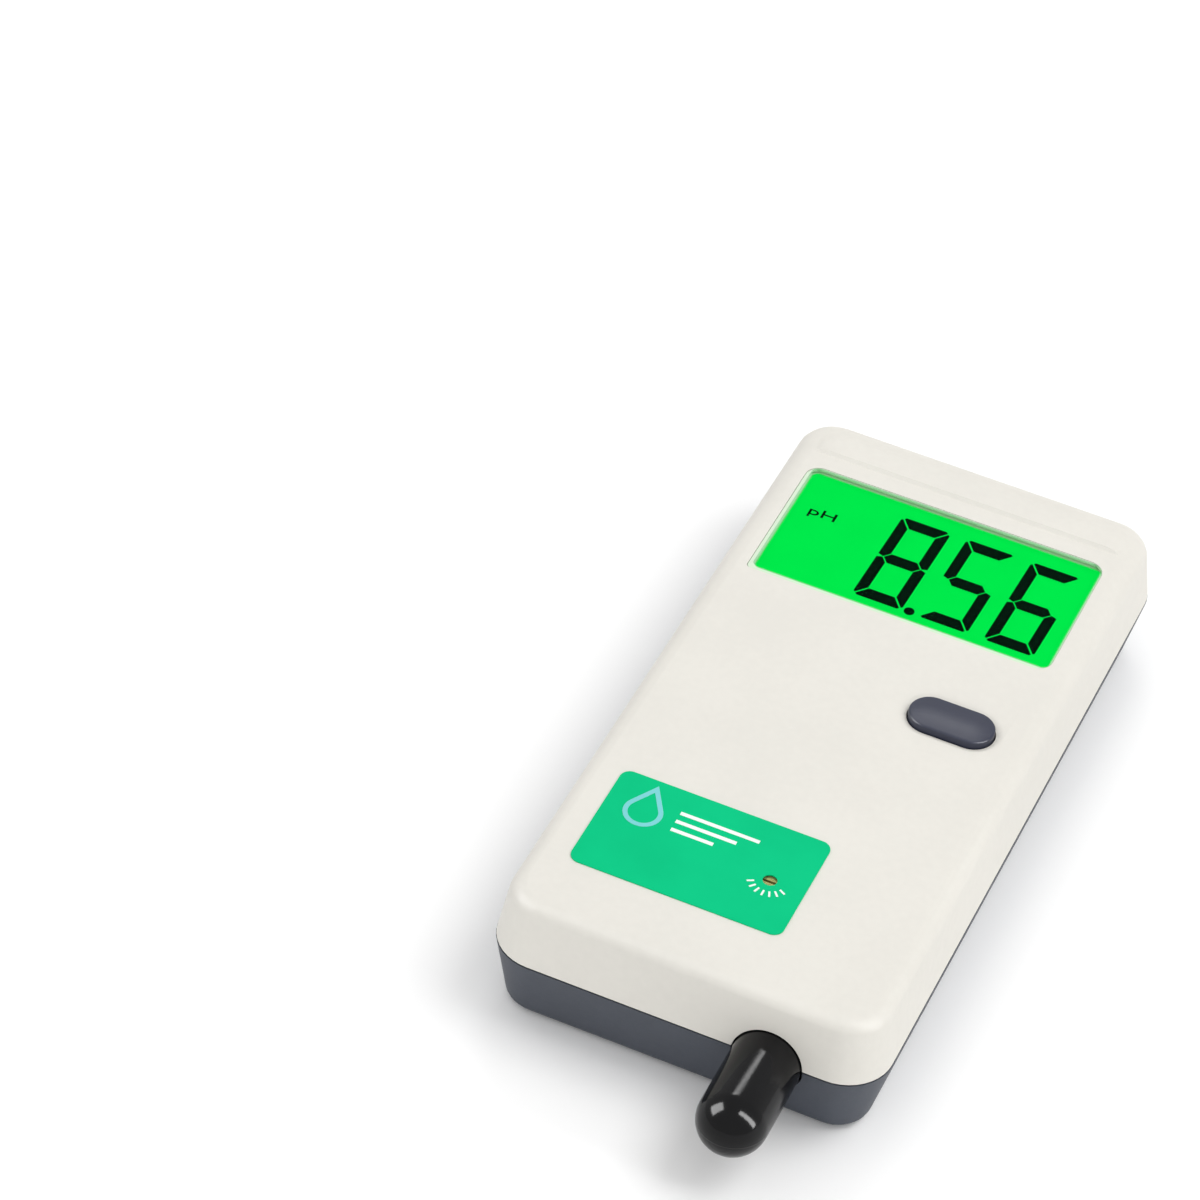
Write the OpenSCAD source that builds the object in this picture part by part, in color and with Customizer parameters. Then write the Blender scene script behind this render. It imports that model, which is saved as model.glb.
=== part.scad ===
// Handheld pH meter with a backlit display, one button, a probe jack and its rubber cap.
// Millimetres. X runs across the meter, Y from the jack end to the display end, Z up.
// The origin is on the surface it lies on, under the middle of the case.

/* [Case] */
// Length of the case
case_l = 150; // [146:1:170]
// Width of the case at the seam
case_w = 73.6; // [73:0.2:84]
// Height of the flat top face above the table
case_h = 27; // [26.5:0.5:32]
// Height of the seam between the two shells
parting_z = 14; // [13.6:0.1:14.6]
// Wall thickness of both shells
wall = 2.2; // [2:0.1:2.6]
// Corner radius of the case at the seam
corner_r = 9; // [8.5:0.25:9.5]
// Edge radius of the top face at the jack end
front_edge_r = 3; // [2.5:0.25:4]
// Edge radius of the top face at the display end
rear_edge_r = 4; // [3:0.25:4.5]
// Edge radius of the underside
under_edge_r = 2.5; // [2:0.25:3]
// How far the upper shell draws in between the seam and the top face
upper_draft = 1.5; // [0.8:0.1:1.6]
// How far the lower shell draws in between the seam and its edge radius
draft = 2.4; // [1.6:0.1:2.6]
// Height of the raised strip behind the display
brow_h = 0.6; // [0.3:0.1:1]
// Length of the raised strip behind the display
brow_l = 12.2; // [10:0.1:13]
// Height of the dark groove along the seam
seam_h = 0.35; // [0.2:0.05:0.6]
// Depth of the dark groove along the seam
seam_d = 0.6; // [0.3:0.1:0.8]
// Height of the lip that locates the shells
lip_h = 1.4; // [1:0.1:1.8]
// Thickness of the locating lip
lip_t = 0.9; // [0.7:0.1:1]

/* [Display] */
// From the side of the case to the display window
window_side = 7.1; // [6.9:0.1:9]
// Depth of the display window
window_d = 32.4; // [28:0.2:33]
// From the rear end of the case to the window
window_inset = 17; // [16.5:0.1:18.5]
// Corner radius of the window at three corners
window_r = 3; // [1.5:0.5:4]
// Corner radius of the window at the corner nearest the label
window_near_r = 0.8; // [0.5:0.1:3]
// Thickness of the case over the edge of the display
window_rim_t = 0.7; // [0.6:0.05:1.2]
// Thickness of the window's hidden flange
flange_t = 0.5; // [0.4:0.05:0.8]
// Width of the window's hidden flange
flange_w = 1.9; // [1.6:0.1:2]
// Thickness of the liquid crystal glass
glass_t = 2.2; // [1.6:0.1:2.6]
// How far the glass reaches past the window on each side
glass_lap = 1; // [0.8:0.1:1.1]
// Wall of the frame that holds the glass
frame_t = 1.2; // [1:0.1:1.3]
// Height of the board between the battery bay and the glass, as a share of the room
board_part = 0.45; // [0.4:0.01:0.5]
// Width of one digit, as a share of the window's width
digit_w_part = 0.165; // [0.14:0.005:0.18]
// Height of one digit, as a share of the window's depth
digit_h_part = 0.75; // [0.6:0.01:0.78]
// Distance between digits, as a share of the window's width
digit_pitch_part = 0.219; // [0.2:0.001:0.22]
// Stroke of a digit, as a share of the window's width
digit_stroke_part = 0.038; // [0.02:0.001:0.04]
// From the middle of the window to the middle digit, as a share of the window's width
digit_x_part = 0.137; // [0.08:0.001:0.14]

/* [Button] */
// Length of the button
button_w = 16.3; // [12:0.1:18]
// Width of the button
button_d = 8.4; // [7:0.1:10]
// From the side of the case to the middle of the button
button_side = 17.8; // [17:0.1:24]
// From the window to the middle of the button
button_inset = 20.9; // [18:0.1:25]
// How far the button stands above the case
button_proud = 1.2; // [1:0.1:2]
// Travel of the button
button_travel = 0.9; // [0.5:0.05:1]
// Gap around the button
button_gap = 0.25; // [0.15:0.05:0.4]
// Width of the dished ring around the button
dish_w = 1.3; // [0.8:0.1:2]
// Depth of the dished ring
dish_d = 0.6; // [0.3:0.1:0.9]

/* [Label and trimmer] */
// Width of the label
label_w = 39.9; // [36:0.1:42]
// Depth of the label
label_d = 25; // [22:0.1:28]
// From the left side of the case to the label
label_side = 8.65; // [7:0.05:11]
// From the jack end of the case to the label
label_inset = 15.55; // [12:0.05:19]
// Thickness of the label
label_t = 0.25; // [0.15:0.05:0.4]
// Corner radius of the label
label_r = 2; // [1:0.25:3]
// From the right edge of the label to the trimmer
trimmer_side = 6.65; // [5:0.05:10]
// How far the trimmer lies from the middle of the label towards the jack
trimmer_drop = 0.7; // [0:0.1:3]
// Radius of the trimmer's brass screw
trimmer_r = 1.5; // [1.2:0.1:1.7]
// How far the trimmer's screw stays below the label
trimmer_sink = 0.2; // [0.1:0.1:1]

/* [Probe jack and cap] */
// From the side of the case to the jack's axis
jack_side = 19.7; // [19.5:0.1:26]
// How far the jack's axis lies below the seam
jack_drop = 0.6; // [0:0.1:1]
// Outer radius of the jack's barrel
barrel_r = 4.83; // [4.6:0.01:4.9]
// Bore radius of the jack's barrel
barrel_bore_r = 4.05; // [3.8:0.01:4.1]
// Length of the barrel in front of its flange
barrel_l = 14.6; // [13:0.1:15]
// Radius to the tip of the bayonet lugs
lug_tip_r = 5.5; // [5.3:0.01:5.5]
// Radius of each bayonet lug
lug_r = 1; // [0.8:0.05:1.1]
// From the barrel's mouth to the lugs
lug_inset = 4.9; // [4.4:0.1:5.4]
// Radius of the jack's flange
flange_r = 6.2; // [6:0.05:6.3]
// Thickness of the jack's flange
jack_flange_t = 1.2; // [1:0.1:1.4]
// Radius of the jack's threaded neck
neck_r = 4.7; // [4.4:0.05:4.75]
// Socket radius of the centre contact
contact_bore_r = 0.7; // [0.68:0.01:0.72]
// Socket depth of the centre contact
contact_bore_l = 5; // [4:0.5:6]
// Outer radius of the rubber cap
cap_r = 6.4; // [6.4:0.05:6.5]
// Length of the cap outside the case
cap_reach = 21; // [21:0.2:24]
// Thickness of the cap's closed end
cap_end_t = 1.3; // [1:0.1:2]
// Running gap between the cap and the jack
cap_gap = 0.15; // [0.1:0.01:0.2]

/* [Battery bay] */
// Radius of a cell
cell_r = 5.25; // [5:0.05:5.25]
// Length of a cell
cell_l = 44.5; // [43:0.5:44.5]
// Depth of the spring contacts at each end of the bay
contact_depth = 2.9; // [2.4:0.1:3.2]
// Wall thickness of the bay
bay_wall = 1.2; // [1:0.1:1.4]
// Height of the door's end wall
door_wall_h = 9; // [7:0.5:10]
// Sliding gap around the door
door_gap = 0.2; // [0.15:0.05:0.3]
// Width of the door's side tongues
tongue_w = 1.2; // [0.8:0.1:1.5]

/* [Board and screws] */
// Thickness of the circuit board
pcb_t = 1.6; // [1.2:0.2:1.6]
// Gap between the board's edge and the case
pcb_gap = 1.6; // [1:0.1:2]
// Head radius of the case screws
screw_head_r = 2.6; // [2.2:0.1:2.7]
// Shank radius of the case screws
screw_r = 1.3; // [1.1:0.05:1.4]
// Length of the case screws under the head
screw_l = 13; // [11:0.5:14]
// Depth of the screw wells in the underside
screw_well = 5.5; // [4:0.5:6]

/* [Hidden] */
$fn = 48;

// Small gaps that are the same everywhere
seat = 0.1;
fit = 0.03;
eps = 0.5;

// Corner centres of the case outline
corner_x = case_w / 2 - corner_r;
corner_y = case_l / 2 - corner_r;
rear_y = case_l / 2;
front_y = -case_l / 2;
ceiling_z = case_h - wall;
brow_blend = corner_r - upper_draft - rear_edge_r - 0.3;

// Boss around the head of a case screw
boss_r = screw_head_r + 1.6;

// Battery bay and its door
cell_gap = 0.4;
cell_pitch = 2 * cell_r + cell_gap;
bay_side = 2 * bay_wall + 1.4 + tongue_w + door_gap;
cells = floor((2 * (corner_x - boss_r - bay_side) - cell_gap) / cell_pitch);
bay_half = (cells * cell_pitch + cell_gap) / 2;
floor_edge_r = max(under_edge_r - wall, 0.6);
door_end_y = rear_y - wall - draft - floor_edge_r - seat;
bay_rear = door_end_y - 0.6 - bay_wall;
bay_front = bay_rear - cell_l - 2 * contact_depth;
ledge_t = 1;
door_half = bay_half + bay_wall + 1.4;
tongue_half = door_half + tongue_w;
door_front = bay_front - bay_wall - 1;
door_t = wall - seat;
cell_z = wall + 0.2 + cell_r;
bay_roof = cell_z + cell_r + 0.2;
bay_top = bay_roof + bay_wall;
rail_t = 1.2;
rail_half = bay_half + bay_side;
contact_t = 0.4;
contact_h = 8;
tail_w = 2;

// Display stack, from the top face down to the board
window_w = case_w - 2 * window_side;
window_y = rear_y - window_inset - window_d / 2;
flange_top = case_h - window_rim_t - seat;
flange_z = flange_top - flange_t;
segment_t = 0.1;
glass_top = flange_z - seat - segment_t;
glass_z = glass_top - glass_t;
pcb_z = bay_top + board_part * (glass_z - bay_top - pcb_t);
pcb_top = pcb_z + pcb_t;
backlight_t = glass_z - pcb_top;
part_room = ceiling_z - pcb_top;
glass_w = window_w + 2 * glass_lap;
glass_d = window_d + 2 * glass_lap;
frame_w = glass_w + 2 * (seat + frame_t);
frame_d = glass_d + 2 * (seat + frame_t);
strip_w = 2.2;
strip_gap = 0.4;
digit_w = window_w * digit_w_part;
digit_h = window_d * digit_h_part;
digit_pitch = window_w * digit_pitch_part;
digit_stroke = window_w * digit_stroke_part;
digit_x = window_w * digit_x_part;

// Button stack, from the cap down to the board
button_x = case_w / 2 - button_side;
button_y = window_y - window_d / 2 - button_inset;
button_top = case_h + button_proud;
button_flange = 1;
button_flange_t = 0.2 * part_room;
button_flange_top = ceiling_z - seat;
switch_side = 6;
switch_h = 0.33 * part_room;
switch_floor = 0.4;
plunger_r = 1.5;
plunger_gap = 0.1;
plunger_z = pcb_top + switch_floor + button_travel + seat;
plunger_top = button_flange_top - button_flange_t - 0.4;
stem_r = 2.2;
crown_w = 2;
crown_h = 1;

// Label and trimmer
label_x = label_side + (label_w - case_w) / 2;
label_y = front_y + label_inset + label_d / 2;
trimmer_x = label_x + label_w / 2 - trimmer_side;
trimmer_y = label_y - trimmer_drop;
trimmer_w = 6.6;
trimmer_d = 7;
trimmer_h = part_room - 0.7;
trimmer_seat = 1.8;

// Jack, along Y from the mouth of its well in the case
jack_x = case_w / 2 - jack_side;
jack_z = parting_z - jack_drop;
well_r = cap_r + 0.25;
well_sink = 1;
well_y = front_y + wall + well_sink;
seat_t = 2;
seat_r = well_r + 1.9;
seat_y = well_y + seat_t;
jack_face_y = well_y - jack_flange_t;
mouth_y = jack_face_y - barrel_l;
neck_bore_r = neck_r - 1.2;
barrel_floor_y = mouth_y + 9;
tag_t = 0.5;
nut_t = 2.4;
nut_r = 7.2;
neck_end_y = seat_y + tag_t + nut_t + 1.6;
insulator_r = 2.4;
contact_r = 1.05;
contact_y = mouth_y + 1.6;
contact_end_y = neck_end_y + 3.2;
lead_r = 0.6;
lead_bend = 2;
lead_end_y = neck_end_y + 10;
tag_x = jack_x - 9.5;

// Cap, along Y from its open rim
cap_rim_y = jack_face_y - 0.3;
cap_end_y = front_y - cap_reach;
cap_bore_r = lug_tip_r + cap_gap;
grip_r = barrel_r + cap_gap;
grip_y = mouth_y + lug_inset - lug_r - 1;

// Screws
upper_boss_r = 3.3;
board_screw_r = 0.8;
board_boss_r = 2.6;
board_screw_x = case_w / 2 - wall - pcb_gap - 4.2;
board_front = neck_end_y + 9;
board_rear = window_y + frame_d / 2 + 1.5;
board_half = case_w / 2 - wall - pcb_gap;
board_span = window_y - frame_d / 2 - board_front;
board_screw_ys = [board_front + 6, board_front + board_span - board_boss_r - 5];

// Parts on the board
chip_h = 0.52 * part_room;
chip_leg_w = 0.4;
chip_leg_l = 1;
main_chip_w = 26;
main_chip_d = 9;
main_chip_pitch = 1.8;
amplifier_w = 9.6;
amplifier_d = 6.2;
amplifier_pitch = 2.3;
can_r = 2.5;
can_h = 0.88 * part_room;
resistor_w = 3.2;
resistor_d = 1.6;
resistor_h = 0.7;
resistor_pitch = 5.2;
crystal_w = 11.2;
crystal_d = 4.6;
crystal_h = 0.65 * part_room;

// 2D and 3D helpers

// Rectangle with round corners, centred
module rounded(w, d, r) {
    square([w - 2 * r, d], center = true);
    square([w, d - 2 * r], center = true);
    for (sx = [-1, 1], sy = [-1, 1])
        translate([sx * (w / 2 - r), sy * (d / 2 - r)]) circle(r);
}

// Window outline: three corners of radius r and one, at the near left, of radius near
module window_outline(w, d, r, near) {
    difference() {
        square([w, d], center = true);
        for (c = [[1, 1, r], [-1, 1, r], [1, -1, r], [-1, -1, near]])
            translate([c[0] * (w / 2 - c[2]), c[1] * (d / 2 - c[2])])
                difference() {
                    translate([c[0] < 0 ? -c[2] - eps : 0, c[1] < 0 ? -c[2] - eps : 0])
                        square(c[2] + eps);
                    circle(c[2]);
                }
    }
}

// Slot shape with round ends, centred, long side along X
module stadium(w, d) {
    square([w - d, d], center = true);
    for (s = [-1, 1]) translate([s * (w - d) / 2, 0]) circle(d / 2);
}

// Case outline drawn in from the outside by inset
module outline(inset) {
    rounded(case_w - 2 * inset, case_l - 2 * inset, corner_r - inset);
}

// Cylinder along +Y from y0 to y1
module bar_y(r, y0, y1) {
    translate([0, y0, 0]) rotate([-90, 0, 0]) cylinder(r = r, h = y1 - y0);
}

// Profile [radius, y] turned about the jack's axis
module turned(points) {
    translate([jack_x, 0, jack_z]) rotate([-90, 0, 0]) rotate_extrude() polygon(points);
}

// Quarter of a rounded edge from angle a0 to a1 in steps that keep it smooth
function edge(cx, cz, r, a0, a1, n = 6) =
    [for (i = [0:n]) let (a = a0 + (a1 - a0) * i / n) [cx + r * cos(a), cz + r * sin(a)]];

// Corner post of the upper shell: drafted wall and a round top edge
module upper_post(r, z0, z1, er) {
    rotate_extrude($fn = 40)
        polygon(concat([[0, z0], [r, z0]], edge(r - upper_draft - er, z1 - er, er, 0, 90), [[0, z1]]));
}

// Corner post of the lower shell: drafted wall and a round lower edge
module lower_post(r, z0, z1, er) {
    rotate_extrude($fn = 40)
        polygon(concat([[0, z1], [r, z1]], edge(r - draft - er, z0 + er, er, 0, -90), [[0, z0]]));
}

// Solid form of the upper shell, drawn in by inset, raised by lift and with its edges softened by blend
module upper_form(inset = 0, lift = 0, blend = 0) {
    z0 = parting_z - (inset > 0 ? 1 : 0);
    hull() for (sx = [-1, 1], end = [[-1, front_edge_r], [1, rear_edge_r]])
        translate([sx * corner_x, end[0] * corner_y, 0])
            upper_post(corner_r - inset, z0, case_h + lift - inset, max(end[1] - inset, 0.6) + blend);
}

// Solid form of the lower shell, drawn in by inset
module lower_form(inset = 0) {
    z1 = parting_z + (inset > 0 ? 1 : 0);
    hull() for (sx = [-1, 1], sy = [-1, 1])
        translate([sx * corner_x, sy * corner_y, 0])
            lower_post(corner_r - inset, inset, z1, max(under_edge_r - inset, 0.6));
}

// Well for the cap and through hole for the jack's neck
module jack_cut() {
    translate([jack_x, 0, jack_z]) {
        bar_y(well_r, front_y - 2, well_y);
        bar_y(neck_r + fit, well_y - eps, seat_y + eps);
    }
}

// Places of the four case screws
module at_case_screws() {
    for (sx = [-1, 1], sy = [-1, 1]) translate([sx * corner_x, sy * corner_y, 0]) children();
}

// Places of the four board screws
module at_board_screws() {
    for (sx = [-1, 1], y = board_screw_ys) translate([sx * board_screw_x, y, 0]) children();
}

// Places of the cells, counted across the bay
function cell_x(i) = (i - (cells - 1) / 2) * cell_pitch;

// Case

module top_shell() {
    brow_y = rear_y - brow_l;
    pilot_top = ceiling_z - 0.8;
    color([0.925, 0.914, 0.886])
    difference() {
        union() {
            difference() {
                union() {
                    upper_form();
                    intersection() {
                        upper_form(lift = brow_h, blend = brow_blend);
                        translate([-case_w, 0, 0]) rotate([90, 0, 90]) linear_extrude(2 * case_w)
                            polygon([[brow_y - brow_h, case_h], [brow_y, case_h + brow_h],
                                [rear_y + 1, case_h + brow_h + 1], [rear_y + 1, parting_z + 2],
                                [brow_y - brow_h, parting_z + 2]]);
                    }
                }
                upper_form(wall);
            }
            // seat ring behind the jack's well
            intersection() {
                translate([jack_x, 0, jack_z]) bar_y(seat_r, front_y + wall - 0.4, seat_y);
                translate([-case_w / 2, front_y, parting_z + seat / 2])
                    cube([case_w, wall + seat_t + 1, ceiling_z - parting_z]);
            }
            at_case_screws()
                translate([0, 0, parting_z + seat]) cylinder(r = upper_boss_r, h = ceiling_z - parting_z);
            at_board_screws()
                translate([0, 0, pcb_top]) cylinder(r = board_boss_r, h = ceiling_z - pcb_top + eps);
        }
        // display opening and the pocket for the window's flange and the frame
        translate([0, window_y, ceiling_z - 1]) linear_extrude(case_h)
            window_outline(window_w + 2 * seat, window_d + 2 * seat, window_r, window_near_r);
        translate([0, window_y, pcb_top]) linear_extrude(part_room + wall - window_rim_t)
            rounded(frame_w + 2 * seat, frame_d + 2 * seat, 1);
        // button hole in its shallow dish
        translate([button_x, button_y, ceiling_z - 1]) linear_extrude(case_h)
            stadium(button_w + 2 * button_gap, button_d + 2 * button_gap);
        translate([button_x, button_y, 0]) hull() {
            translate([0, 0, case_h - dish_d]) linear_extrude(0.02)
                stadium(button_w + 2 * button_gap + 0.4, button_d + 2 * button_gap + 0.4);
            translate([0, 0, case_h]) linear_extrude(0.02)
                stadium(button_w + 2 * (button_gap + dish_w), button_d + 2 * (button_gap + dish_w));
        }
        // hole for a screwdriver over the trimmer
        translate([trimmer_x, trimmer_y, ceiling_z - 1]) cylinder(r = trimmer_r + 0.2, h = case_h);
        // pilot holes
        at_case_screws() translate([0, 0, parting_z - 1])
            cylinder(r = screw_r + fit, h = pilot_top - parting_z);
        at_board_screws() translate([0, 0, pcb_top - 1]) cylinder(r = board_screw_r + fit, h = 5);
        jack_cut();
        // rebate for the lower shell's lip, and the dark groove along the seam
        translate([0, 0, parting_z - 1]) linear_extrude(1 + lip_h + seat) difference() {
            outline(wall - lip_t - seat);
            outline(wall + eps);
        }
        translate([0, 0, parting_z - 1]) linear_extrude(1 + seam_h) difference() {
            square([case_w + 4, case_l + 4], center = true);
            outline(seam_d);
        }
    }
}

module bottom_shell() {
    color([0.30, 0.32, 0.35])
    difference() {
        union() {
            difference() {
                lower_form();
                lower_form(wall);
            }
            // locating lip
            translate([0, 0, parting_z - 1]) linear_extrude(1 + lip_h) difference() {
                outline(wall - lip_t);
                outline(wall);
            }
            // seat ring behind the jack's well
            intersection() {
                lower_form(wall / 2);
                translate([jack_x, 0, jack_z]) bar_y(seat_r, front_y, seat_y);
                translate([-case_w / 2, front_y, wall / 2])
                    cube([case_w, wall + seat_t + 1, parting_z - seat / 2 - wall / 2]);
            }
            at_case_screws() translate([0, 0, wall / 2])
                cylinder(r = boss_r, h = parting_z - wall / 2);
            screw_ribs();
            battery_bay();
        }
        at_case_screws() {
            translate([0, 0, -1]) cylinder(r = screw_head_r + 0.35, h = screw_well + 1);
            cylinder(r = screw_r + 0.25, h = parting_z + 1);
        }
        door_cut();
        jack_cut();
    }
}

// Ribs that tie the screw bosses to the side walls
module screw_ribs() {
    intersection() {
        lower_form(wall / 2);
        for (sx = [-1, 1], sy = [-1, 1])
            translate([sx > 0 ? corner_x : -case_w / 2, sy * corner_y - 0.6, 0])
                cube([corner_r, 1.2, parting_z - 2]);
    }
}

// Bay walls, roof and the rails over the door's tongues
module battery_bay() {
    length = bay_rear - bay_front + 2 * bay_wall;
    translate([0, bay_front - bay_wall, 0]) {
        for (s = [-1, 1]) {
            translate([s > 0 ? bay_half : -bay_half - bay_wall, 0, wall])
                cube([bay_wall, length, bay_roof - wall + bay_wall]);
            translate([s > 0 ? bay_half : -rail_half, 0, wall])
                cube([rail_half - bay_half, length, rail_t]);
        }
        for (y = [0, length - bay_wall]) translate([-bay_half - 0.1, y, wall])
            cube([2 * bay_half + 0.2, bay_wall, bay_roof - wall + bay_wall]);
        difference() {
            translate([-bay_half - 0.1, 0, bay_roof]) cube([2 * bay_half + 0.2, length, bay_wall]);
            // slots for the contact tails
            for (x = [cell_x(0), cell_x(cells - 1)])
                translate([x - tail_w / 2 - 0.2, bay_wall - seat, bay_roof - 1])
                    cube([tail_w + 0.4, contact_t + 3 * seat, bay_wall + 2]);
        }
    }
}

// What the door and its tongues take out of the lower shell
module door_cut() {
    translate([-door_half - door_gap, door_front, -1])
        cube([2 * (door_half + door_gap), case_l, 1 + wall]);
    translate([-tongue_half - door_gap, door_front, ledge_t])
        cube([2 * (tongue_half + door_gap), case_l, wall - ledge_t]);
    translate([-tongue_half - door_gap, door_end_y, -1])
        cube([2 * (tongue_half + door_gap), case_l, 1 + door_wall_h + door_gap]);
}

module battery_door() {
    door_l = door_end_y + eps - door_front - door_gap;
    color([0.29, 0.31, 0.34]) {
        difference() {
            union() {
                intersection() {
                    lower_form();
                    union() {
                        translate([-door_half, door_front + door_gap, -1])
                            cube([2 * door_half, case_l, 1 + door_t]);
                        translate([-tongue_half, door_end_y + seat, -1])
                            cube([2 * tongue_half, case_l, 1 + door_wall_h]);
                    }
                }
                translate([-tongue_half, door_front + door_gap, ledge_t + seat])
                    cube([2 * tongue_half, door_l, door_t - ledge_t - seat]);
            }
            // thumb grooves
            for (i = [0:4]) translate([-7, door_front + 6 + 2.4 * i, -1]) cube([14, 1.1, 1.5]);
        }
    }
}

module case_screws() {
    color([0.72, 0.72, 0.74]) at_case_screws() translate([0, 0, screw_well]) {
        difference() {
            union() {
                translate([0, 0, -2]) cylinder(r = screw_head_r, h = 2);
                translate([0, 0, -0.1]) cylinder(r = screw_r, h = screw_l + 0.1);
            }
            for (a = [0, 90]) rotate(a) translate([-1.6, -0.3, -2.1]) cube([3.2, 0.6, 1.1]);
        }
    }
}

// Display

module lcd_window() {
    color([0.85, 0.95, 0.9, 0.3]) translate([0, window_y, 0]) {
        translate([0, 0, flange_z]) linear_extrude(flange_t)
            rounded(window_w + 2 * flange_w, window_d + 2 * flange_w, 1);
        translate([0, 0, flange_z + flange_t / 2]) linear_extrude(case_h - seat - flange_z - flange_t / 2)
            window_outline(window_w, window_d, window_r, window_near_r);
    }
}

module lcd_frame() {
    color([0.12, 0.12, 0.13]) translate([0, window_y, pcb_top])
        linear_extrude(glass_top - pcb_top) difference() {
            rounded(frame_w, frame_d, 0.8);
            square([glass_w + 2 * seat, glass_d + 2 * seat], center = true);
        }
}

module lcd_glass() {
    color([0.1, 0.8, 0.35]) translate([-glass_w / 2, window_y - glass_d / 2, glass_z])
        cube([glass_w, glass_d, glass_t]);
}

// One bar of a digit, centred, along X
module digit_bar(l) {
    h = digit_stroke / 2;
    polygon([[-l / 2, 0], [h - l / 2, h], [l / 2 - h, h], [l / 2, 0], [l / 2 - h, -h], [h - l / 2, -h]]);
}

// Bars of one digit. on lists top, middle, bottom, upper left, upper right, lower left, lower right
module digit(on) {
    gap = 0.35;
    side = (digit_w - digit_stroke) / 2;
    rise = (digit_h - digit_stroke) / 2;
    for (i = [0:2]) if (on[i]) translate([0, (1 - i) * rise]) digit_bar(digit_w - digit_stroke - gap);
    for (i = [0:3]) if (on[3 + i])
        translate([(i % 2 == 0 ? -1 : 1) * side, (i < 2 ? 1 : -1) * rise / 2])
            rotate(90) digit_bar(rise - gap);
}

module lcd_segments() {
    shown = [[1, 1, 1, 1, 1, 1, 1], [1, 1, 1, 1, 0, 0, 1], [1, 1, 1, 1, 0, 1, 1]];
    color([0.02, 0.05, 0.03]) translate([digit_x, window_y + 0.4, glass_top]) linear_extrude(segment_t) {
        for (i = [0:2]) translate([(i - 1) * digit_pitch, 0]) digit(shown[i]);
        // decimal point between the first two digits
        translate([-digit_pitch * 0.54, 0.4 - digit_h / 2]) circle(0.9);
    }
}

module backlight() {
    color([0.75, 0.95, 0.8]) translate([0, window_y, pcb_top]) linear_extrude(backlight_t)
        square([glass_w, glass_d - 2 * (strip_w + strip_gap)], center = true);
}

module zebra_strips() {
    color([0.85, 0.45, 0.55]) for (s = [-1, 1])
        translate([-glass_w / 2, window_y + s * (glass_d - strip_w) / 2 - strip_w / 2, pcb_top])
            cube([glass_w, strip_w, backlight_t]);
}

// Button

module button_cap() {
    crown_z = button_top - crown_h;
    color([0.36, 0.37, 0.42]) translate([button_x, button_y, 0]) {
        translate([0, 0, button_flange_top - eps])
            linear_extrude(crown_z - button_flange_top + eps) stadium(button_w, button_d);
        hull() {
            translate([0, 0, crown_z - 0.05]) linear_extrude(0.05) stadium(button_w, button_d);
            for (a = [18:18:90]) translate([0, 0, crown_z + crown_h * sin(a) - 0.02]) linear_extrude(0.02)
                stadium(button_w - crown_w * (1 - cos(a)), button_d - crown_w * (1 - cos(a)));
        }
        translate([0, 0, button_flange_top - button_flange_t]) linear_extrude(button_flange_t)
            stadium(button_w + 2 * button_flange, button_d + 2 * button_flange);
        translate([0, 0, plunger_top]) cylinder(r = stem_r, h = button_flange_top - plunger_top - 0.2);
    }
}

module switch_body() {
    color([0.1, 0.1, 0.11]) translate([button_x, button_y, pcb_top]) difference() {
        linear_extrude(switch_h) rounded(switch_side, switch_side, 0.6);
        translate([0, 0, switch_floor]) cylinder(r = plunger_r + plunger_gap, h = switch_h);
    }
}

module switch_plunger() {
    color([0.85, 0.83, 0.78]) translate([button_x, button_y, plunger_z])
        cylinder(r = plunger_r, h = plunger_top - plunger_z);
}

// Label and trimmer

module label() {
    color([0.09, 0.79, 0.54]) translate([0, 0, case_h]) difference() {
        translate([label_x, label_y, 0]) linear_extrude(label_t) rounded(label_w, label_d, label_r);
        translate([trimmer_x, trimmer_y, -1]) cylinder(r = trimmer_r - 0.2, h = 2);
    }
}

// Plain droplet ring printed on the label
module label_emblem() {
    ring = 0.9;
    drop_r = 3.6;
    color([0.62, 0.90, 0.92])
        translate([label_x - label_w * 0.32, label_y + label_d * 0.16, case_h + label_t])
        linear_extrude(0.06) difference() {
            droplet(drop_r);
            droplet(drop_r - ring);
        }
}

// Droplet of radius r whose point stands up
module droplet(r) {
    circle(r);
    polygon([[-r * cos(30), r * sin(30)], [r * cos(30), r * sin(30)], [0, 2 * r]]);
}

// White rules beside the droplet and a tick scale by the trimmer
module label_rules() {
    color([0.96, 0.98, 0.96]) translate([0, 0, case_h + label_t]) linear_extrude(0.06) {
        for (i = [0:2]) translate([label_x - label_w * 0.17, label_y + label_d * 0.26 - 2.2 * i])
            square([15 - 3.5 * i, 0.8]);
        translate([trimmer_x, trimmer_y]) for (a = [210:20:330])
            rotate(a) translate([trimmer_r + 1.3, -0.18]) square([1.3, 0.36]);
    }
}

module trimmer_body() {
    color([0.16, 0.30, 0.66]) translate([trimmer_x, trimmer_y, pcb_top]) difference() {
        translate([-trimmer_w / 2, -trimmer_d / 2, 0]) cube([trimmer_w, trimmer_d, trimmer_h]);
        translate([0, 0, trimmer_h - trimmer_seat]) cylinder(r = trimmer_r + 0.08, h = trimmer_h);
    }
}

// Slotted screw that reaches up to just under the label
module trimmer_screw() {
    foot = pcb_top + trimmer_h - trimmer_seat + 0.05;
    head = case_h - trimmer_sink;
    color([0.80, 0.64, 0.30]) translate([trimmer_x, trimmer_y, 0]) difference() {
        translate([0, 0, foot]) cylinder(r = trimmer_r, h = head - foot);
        translate([-2 * trimmer_r, -0.25, head - 0.6]) cube([4 * trimmer_r, 0.5, 1]);
    }
}

// Circuit board and what stands on it

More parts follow.
